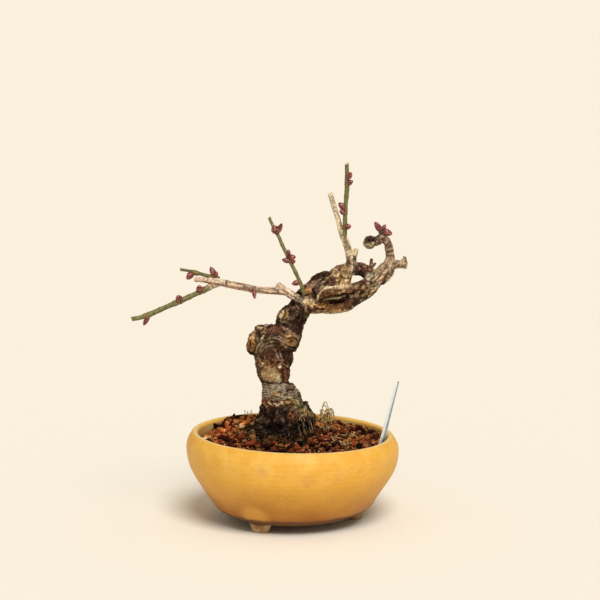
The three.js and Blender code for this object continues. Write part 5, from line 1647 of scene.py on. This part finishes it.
def stem_shell(stations, buds):
    """A stem: a tube with nodes at its buds and at even spacings, and one slanting cut end. At a distance s
    past a node its radius grows by a share of 0.14 exp(-(s / 1.2)^2) + 0.08 exp(-((s + 0.9) / 0.35)^2)."""
    line, radii = along_stations(stations, 14)
    arc = np.concatenate([[0], np.cumsum(np.linalg.norm(np.diff(line, axis=0), axis=1))])
    seats = [arc[np.linalg.norm(line - np.array(seat), axis=1).argmin()] for seat, _, _ in buds]
    nodes = np.concatenate([seats, np.arange(6, arc[-1] - 3, NODE_SPACING)])
    past = arc[:, None] - nodes[None]
    swell = np.exp(-(past / 1.2) ** 2).max(axis=1)
    ridge = np.exp(-((past + 0.9) / 0.35) ** 2).max(axis=1)
    rings = rings_along(line, radii * (1 + 0.14 * swell + 0.08 * ridge), STEM_SIDES)
    ahead = unit(line[-1] - line[-2])
    rings[-1] += ahead * (0.5 * (rings[-1] - line[-1]) @ np.array([0.8, 0.3, 0.5]))[:, None]
    cap = line[-1] + (rings[-1] - line[-1]) * 0.94
    grid = np.concatenate([rings, rings[-1:], cap[None]])
    on_cut = np.arange(len(grid)) >= len(grid) - 2
    joint = np.append(np.repeat(np.append(swell, [0, 0]), STEM_SIDES), [0, 0])
    cut = np.append(np.repeat(on_cut * 1.0, STEM_SIDES), [0, 1])
    return closed(grid).marked(joint=joint, cut=cut)


# Where the whorls of scales end, as shares of a bud's length
BUD_WHORLS = [0.2, 0.34, 0.5, 0.68, 0.86]
BUD_SIDES = 40


def bud_shell(seat, tip, radius):
    """A bud: an egg of radius * sin(pi * t^0.85)^0.5 about its line, t running from 0 at its seat to 1 at
    its tip, under five whorls of scales. A whorl ends at t = end - 0.16 * w, with w zigzagging five times
    round, and each whorl still above the skin adds to its thickness."""
    seat, tip = np.array(seat, float), np.array(tip, float)
    t = np.concatenate([[0.0, 0.02, 0.05], np.linspace(0.09, 0.97, 36), [0.99]])
    line = seat + (tip - seat) * t[:, None]
    girth = radius * np.sin(math.pi * t ** 0.85) ** 0.5
    angle = turns(BUD_SIDES)
    cover = 0
    edge = 0
    for whorl, end in enumerate(BUD_WHORLS):
        zigzag = np.abs((5 * angle / TAU + 0.5 * whorl) % 1 - 0.5) * 2
        short = end - 0.16 * zigzag ** 1.6 - t[:, None]
        cover = cover + eased(-0.012, 0.012, short)
        edge = np.maximum(edge, np.exp(-(np.minimum(np.abs(short), 1) / 0.034) ** 2))
    first = np.cross(tip - seat, (0.3, 0.2, 0.9))
    grid = rings_along(line, girth, BUD_SIDES, unit(first), 0.86 + 0.05 * cover)
    rise = np.repeat(t, BUD_SIDES)
    return closed(grid).marked(edge=np.append(edge.ravel(), [0, 0]), rise=np.append(rise, [0, 0]))


def bud_shells(buds):
    """Several buds as one shell."""
    return joined([bud_shell(*bud) for bud in buds])


def shoot_wood(look):
    """Last year's green shoots: streaked green, browner at the nodes and pale where they were cut."""
    f = Finish("green_shoot_wood")
    streak = f.noise(1.1, 3)
    colour = f.mix(look.shoot, look.shoot_dark, f.eased(streak, 0.42, 0.62))
    colour = f.patched(colour, "8c6c3c", 1.9, 3, (0.5, 0.66), 0.6)
    colour = f.patched(colour, "7a5a30", 1.6, 2, (0.35, 0.6), f.mark("joint") * 0.75)
    colour = f.patched(colour, "c9c48a", 0.5, 2, (0.66, 0.74), 0.4)
    colour = f.mix(colour, "d8c79a", f.eased(f.mark("cut"), 0.5, 0.9))
    return f.finish(
        Base_Color=colour, Roughness=0.45 + streak * 0.15, Normal=f.bump(streak, 0.12), Coat_Weight=0.1
    )


def bud_skin(look):
    """Glossy red bud scales, paler in blotches, partly as painted highlight, darker at their edges and
    browner at the seat, partly as painted shade.
    """
    f = Finish("red_bud_scales")
    blotch = f.noise(1.2, 2)
    # Paler blotches: partly the scales' own colour, partly painted highlight
    colour = f.mix(look.bud, look.bud_pale, f.eased(blotch, 0.48, 0.66) * 0.7)
    # Dark scale edges and brown seat: partly their own colour, partly painted shade between the scales and
    # under the bud
    colour = f.mix(colour, "2c0a0a", f.mark("edge") * 0.88)
    colour = f.mix(colour, "6a3a22", (1 - f.eased(f.mark("rise"), 0.1, 0.32)) * 0.75)
    return f.finish(
        Base_Color=colour, Roughness=0.24 + blotch * 0.12, Normal=f.bump(f.noise(0.4, 2), 0.04),
        Coat_Weight=0.5, Coat_Roughness=0.12,
    )


# The label

LABEL = {"foot": (57.4, -12.4, 36), "top": (73.4, -15.4, 101), "half_width": 5.25, "half_thick": 0.45}
LABEL_TURN = np.radians([61, 76])
LABEL_SIDES = 48


def squared_off(wave):
    """A wave between -1 and 1 drawn out towards both, which makes a circle nearly square."""
    return np.sign(wave) * np.abs(wave) ** 0.28


def label_strip():
    """A strip of rounded cross-section along the line from foot to top: at each height the section
    (a cos t, b sin t), drawn out square and a little curved, is turned from the first angle towards the
    second."""
    rows = np.array([0, 0.03, 0.08, *np.linspace(0.15, 0.99, 30), 0.997, 1])
    narrow = np.interp(rows, [0, 0.08, 0.99, 1], [0.35, 1, 1, 0.97])
    foot_end, top_end = np.array(LABEL["foot"]), np.array(LABEL["top"])
    line = foot_end + (top_end - foot_end) * rows[:, None]
    turn = np.interp(rows, [0, 1], LABEL_TURN)[:, None]
    angle = turns(LABEL_SIDES)
    wide = squared_off(np.cos(angle)) * LABEL["half_width"] * narrow[:, None]
    thick = squared_off(np.sin(angle)) * LABEL["half_thick"] + 0.25 * (wide / 5) ** 2
    x = line[:, :1] + wide * np.cos(turn) - thick * np.sin(turn)
    y = line[:, 1:2] + wide * np.sin(turn) + thick * np.cos(turn)
    shell = closed(np.stack([x, y, line[:, 2:] + 0 * x], -1))
    across = (wide / LABEL["half_width"] / 2 + 0.5).ravel()
    return shell.marked(across=np.append(across, [0.5, 0.5]))


def label_plastic(look):
    """Milky plastic: white towards both edges, with a blue-grey smudged band between them."""
    f = Finish("milky_plastic")
    smudge = f.noise(2.6, 4)
    across = f.mark("across")
    band = f.eased(across, 0.25, 0.42) * (1 - f.eased(across, 0.72, 0.88))
    colour = f.mix("e6eff6", look.label, band * (0.5 + smudge * 0.8))
    return f.finish(Base_Color=colour, Roughness=0.35 + smudge * 0.2, Normal=f.bump(smudge, 0.05))


# What a user can change

def colour_setting(name, description, code):
    """A colour that starts as six hexadecimal digits."""
    return bpy.props.FloatVectorProperty(
        name=name, description=description, subtype="COLOR", size=3, min=0, max=1, default=linear(code)
    )


def number_setting(name, description, value, low, high):
    """A number that starts at a value and stays between two limits."""
    return bpy.props.FloatProperty(name=name, description=description, default=value, min=low, max=high)


class BowlLook(bpy.types.PropertyGroup):
    glaze: colour_setting("Glaze", "Colour of the glaze on the shoulder", "e5aa3e")
    # Partly the glaze pooled thick low on the wall, partly painted shade there
    shaded_deep_glaze: colour_setting("Deep glaze", "Colour of the glaze low on the wall", "965402")
    pale_glaze: colour_setting("Pale glaze", "Colour of the clouds in the glaze", "f0c66a")
    # Partly thin glaze over the lip, partly a painted highlight along it
    rim_glaze_and_highlight: colour_setting("Rim glaze", "Colour of the thin glaze over the lip", "e9cf95")
    # Painted paler than the outside glaze, as light against the shade under the lip
    lit_inside_glaze: colour_setting("Inside glaze", "Colour of the glaze inside the wall", "eec67a")
    clay: colour_setting("Clay", "Colour of the bare clay", "c2a078")


class SoilLook(bpy.types.PropertyGroup):
    grain_size: number_setting("Grain size", "Size of the grains against the usual 3 to 6 mm", 1, 0.5, 2)
    humus: colour_setting("Humus", "Colour of the humus round the trunk", "130c08")
    moss: colour_setting("Moss", "Colour of the moss", "100f08")
    straw: colour_setting("Straw", "Colour of the dry stalks", "e6c684")


class WoodLook(bpy.types.PropertyGroup):
    voxel: number_setting("Fineness", "Grid size of the fused wood in millimetres", 0.56, 0.3, 2)
    relief: number_setting("Relief", "Height of the bark's relief against the usual", 1, 0, 2)
    dark_bark: colour_setting("Dark bark", "Darkest broad colour of the bark", "38271e")
    brown_bark: colour_setting("Brown bark", "Lighter broad colour of the bark", "6d5340")


class ShootLook(bpy.types.PropertyGroup):
    shoot: colour_setting("Shoot", "Colour of the green shoots", "767439")
    shoot_dark: colour_setting("Shoot streaks", "Colour of their darker streaks", "3c471a")
    bud: colour_setting("Bud", "Colour of the bud scales", "6c1311")
    bud_pale: colour_setting("Pale bud", "Colour of their paler parts", "e8907e")
    label: colour_setting("Label", "Colour of the band on the blank label", "5f7f9c")


class StageLook(bpy.types.PropertyGroup):
    floor: colour_setting("Floor", "Colour of the floor", "f4f0e7")
    sky: colour_setting("Surround", "Colour of the light from all round", "fff4e0")
    key: number_setting("Key light", "Strength of the sun", 2.5, 0, 10)
    fill: number_setting("Fill", "Strength of the surround", 0.45, 0, 10)


LOOKS = {"bowl": BowlLook, "soil": SoilLook, "wood": WoodLook, "shoot": ShootLook, "stage": StageLook}


def look_of(context, name):
    """The settings of one group."""
    return getattr(context.scene, f"bonsai_{name}")


# The operators

class BuildBowl(bpy.types.Operator):
    """Build the glazed bowl on its three feet and finish the drain screen in its floor"""

    bl_idname = "bonsai.bowl"
    bl_label = "Bowl"

    def execute(self, context):
        shell = joined([bowl_wall(), *[foot(azimuth) for azimuth in FEET["azimuths"]]])
        piece("bowl", shell, glaze(look_of(context, "bowl")), ["pot"])
        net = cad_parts["drain_screen"]
        net.data.materials.clear()
        net.data.materials.append(screen_plastic())
        return {"FINISHED"}


class BuildSoil(bpy.types.Operator):
    """Build the bed of earth, the clay grains and the humus crumbs on it"""

    bl_idname = "bonsai.soil"
    bl_label = "Soil"

    def execute(self, context):
        look = look_of(context, "soil")
        clay = grain_clay(look)
        piece("soil_bed", soil_bed(), shaded_bed_earth(look), ["soil"])
        piece("soil_grains", clay_grains(look), clay, ["soil"], smooth=False)
        piece("humus_crumbs", humus_crumbs(), clay, ["soil"], smooth=False)
        return {"FINISHED"}


class BuildGreenery(bpy.types.Operator):
    """Build the moss, the root hairs and the dry tufts on the soil"""

    bl_idname = "bonsai.greenery"
    bl_label = "Moss and tufts"

    def execute(self, context):
        look = look_of(context, "soil")
        piece("moss", moss_leaves(), moss_green(look))
        piece("dry_tufts", dry_tufts(), straw("dry_straw", look.straw, "6a4a26"))
        piece("root_hairs", root_hairs(), straw("root_hair", "6e5638", "1c130c"))
        return {"FINISHED"}


class BuildOldWood(bpy.types.Operator):
    """Build the trunk, the crown limb and the old branches as one skin of bark"""

    bl_idname = "bonsai.old_wood"
    bl_label = "Old wood"

    def execute(self, context):
        piece("old_wood", old_wood(look_of(context, "wood")), bark(), ["trunk"])
        return {"FINISHED"}


class BuildShoots(bpy.types.Operator):
    """Build the green shoots and every bud"""

    bl_idname = "bonsai.shoots"
    bl_label = "Shoots and buds"

    def execute(self, context):
        look = look_of(context, "shoot")
        wood, scales = shoot_wood(look), bud_skin(look)
        for name, (stem, buds) in SHOOTS.items():
            piece(f"{name}_stem", stem_shell(stem, buds), wood, [name])
            piece(f"{name}_buds", bud_shells(buds), scales, [name])
        stem, buds = BUD_BUNCH
        spur_skin = straw("brown_spur", "6a4a34", "38221a")
        piece("bud_bunch_spur", stem_shell(stem, buds[:1]), spur_skin, ["bud_bunch"])
        piece("bud_bunch_buds", bud_shells(buds), scales, ["bud_bunch"])
        piece("old_wood_buds", bud_shells(OLD_WOOD_BUDS), scales)
        return {"FINISHED"}


class BuildLabel(bpy.types.Operator):
    """Build the blank plant label"""

    bl_idname = "bonsai.label"
    bl_label = "Label"

    def execute(self, context):
        plastic = label_plastic(look_of(context, "shoot"))
        piece("plant_label", label_strip(), plastic, ["label"])
        return {"FINISHED"}


FLOOR_REACH = 300.0
SUN = {"width": 28, "colour": (1, 0.97, 0.92), "from": (0.22, -0.83, 1.05)}
CAMERA = {"place": (5.17, -1465, 373.8), "pitch": 8.42, "focal_px": 2113, "frame_px": 600}


def pale_floor(colour):
    """A dull square floor at table level."""
    corners = np.array([(-1, -1, 0), (1, -1, 0), (1, 1, 0), (-1, 1, 0)]) * FLOOR_REACH
    mesh = mesh_from("floor", corners, np.array([[0, 1, 2], [0, 2, 3]]))
    dull = Finish("pale_floor").finish(Base_Color=colour, Roughness=1, Specular_IOR_Level=0)
    mesh.materials.append(dull)
    return in_scene("floor", mesh)


def soft_sun(strength):
    """A wide sun, as soft as a large studio light, from the front above the right shoulder."""
    light = bpy.data.lights.new("key", "SUN")
    light.angle = math.radians(SUN["width"])
    light.energy = strength
    light.color = SUN["colour"]
    in_scene("key", light).rotation_euler = Vector(SUN["from"]).to_track_quat("Z", "Y").to_euler()


def surround(colour, strength):
    """An even light from all round."""
    world = bpy.data.worlds.new("studio")
    world.use_nodes = True
    sky = world.node_tree.nodes["Background"].inputs
    sky["Color"].default_value = (*colour, 1)
    sky["Strength"].default_value = strength
    bpy.context.scene.world = world


def front_camera():
    """The camera, looking at the front of the tree from a little above."""
    camera = bpy.data.cameras.new("camera")
    camera.sensor_width = 36
    camera.lens = CAMERA["focal_px"] / CAMERA["frame_px"] * camera.sensor_width
    camera.clip_end = 2 * FLOOR_REACH
    view = in_scene("camera", camera)
    view.location = placed(CAMERA["place"])
    view.rotation_euler = (math.radians(90 - CAMERA["pitch"]), 0, 0)
    bpy.context.scene.camera = view


class BuildStage(bpy.types.Operator):
    """Build the pale floor, the soft studio light and the camera"""

    bl_idname = "bonsai.stage"
    bl_label = "Stage"

    def execute(self, context):
        look = look_of(context, "stage")
        ground = pale_floor(look.floor)
        soft_sun(look.key)
        surround(look.sky, look.fill)
        front_camera()
        context.scene.view_settings.view_transform = "Standard"
        return {"FINISHED"}


OPERATORS = [BuildBowl, BuildSoil, BuildGreenery, BuildOldWood, BuildShoots, BuildLabel, BuildStage]


class BonsaiPanel(bpy.types.Panel):
    """Lists the steps that build the bonsai and what can be changed"""

    bl_idname = "VIEW3D_PT_bonsai"
    bl_label = "Bonsai"
    bl_space_type = "VIEW_3D"
    bl_region_type = "UI"
    bl_category = "Bonsai"

    def draw(self, context):
        for operator in OPERATORS:
            self.layout.operator(operator.bl_idname)
        for name, group in LOOKS.items():
            box = self.layout.box()
            for setting in group.__annotations__:
                box.prop(look_of(context, name), setting)


def register():
    """Registers the classes, and adds the settings to the scene."""
    for kind in [*LOOKS.values(), *OPERATORS, BonsaiPanel]:
        bpy.utils.register_class(kind)
    for name, group in LOOKS.items():
        setattr(bpy.types.Scene, f"bonsai_{name}", bpy.props.PointerProperty(type=group))


def unregister():
    """Takes back what register adds."""
    for name in LOOKS:
        delattr(bpy.types.Scene, f"bonsai_{name}")
    for kind in reversed([*LOOKS.values(), *OPERATORS, BonsaiPanel]):
        bpy.utils.unregister_class(kind)


def main():
    """Builds everything."""
    register()
    for operator in OPERATORS:
        area, name = operator.bl_idname.split(".")
        getattr(getattr(bpy.ops, area), name)()


if __name__ == "__main__":
    main()
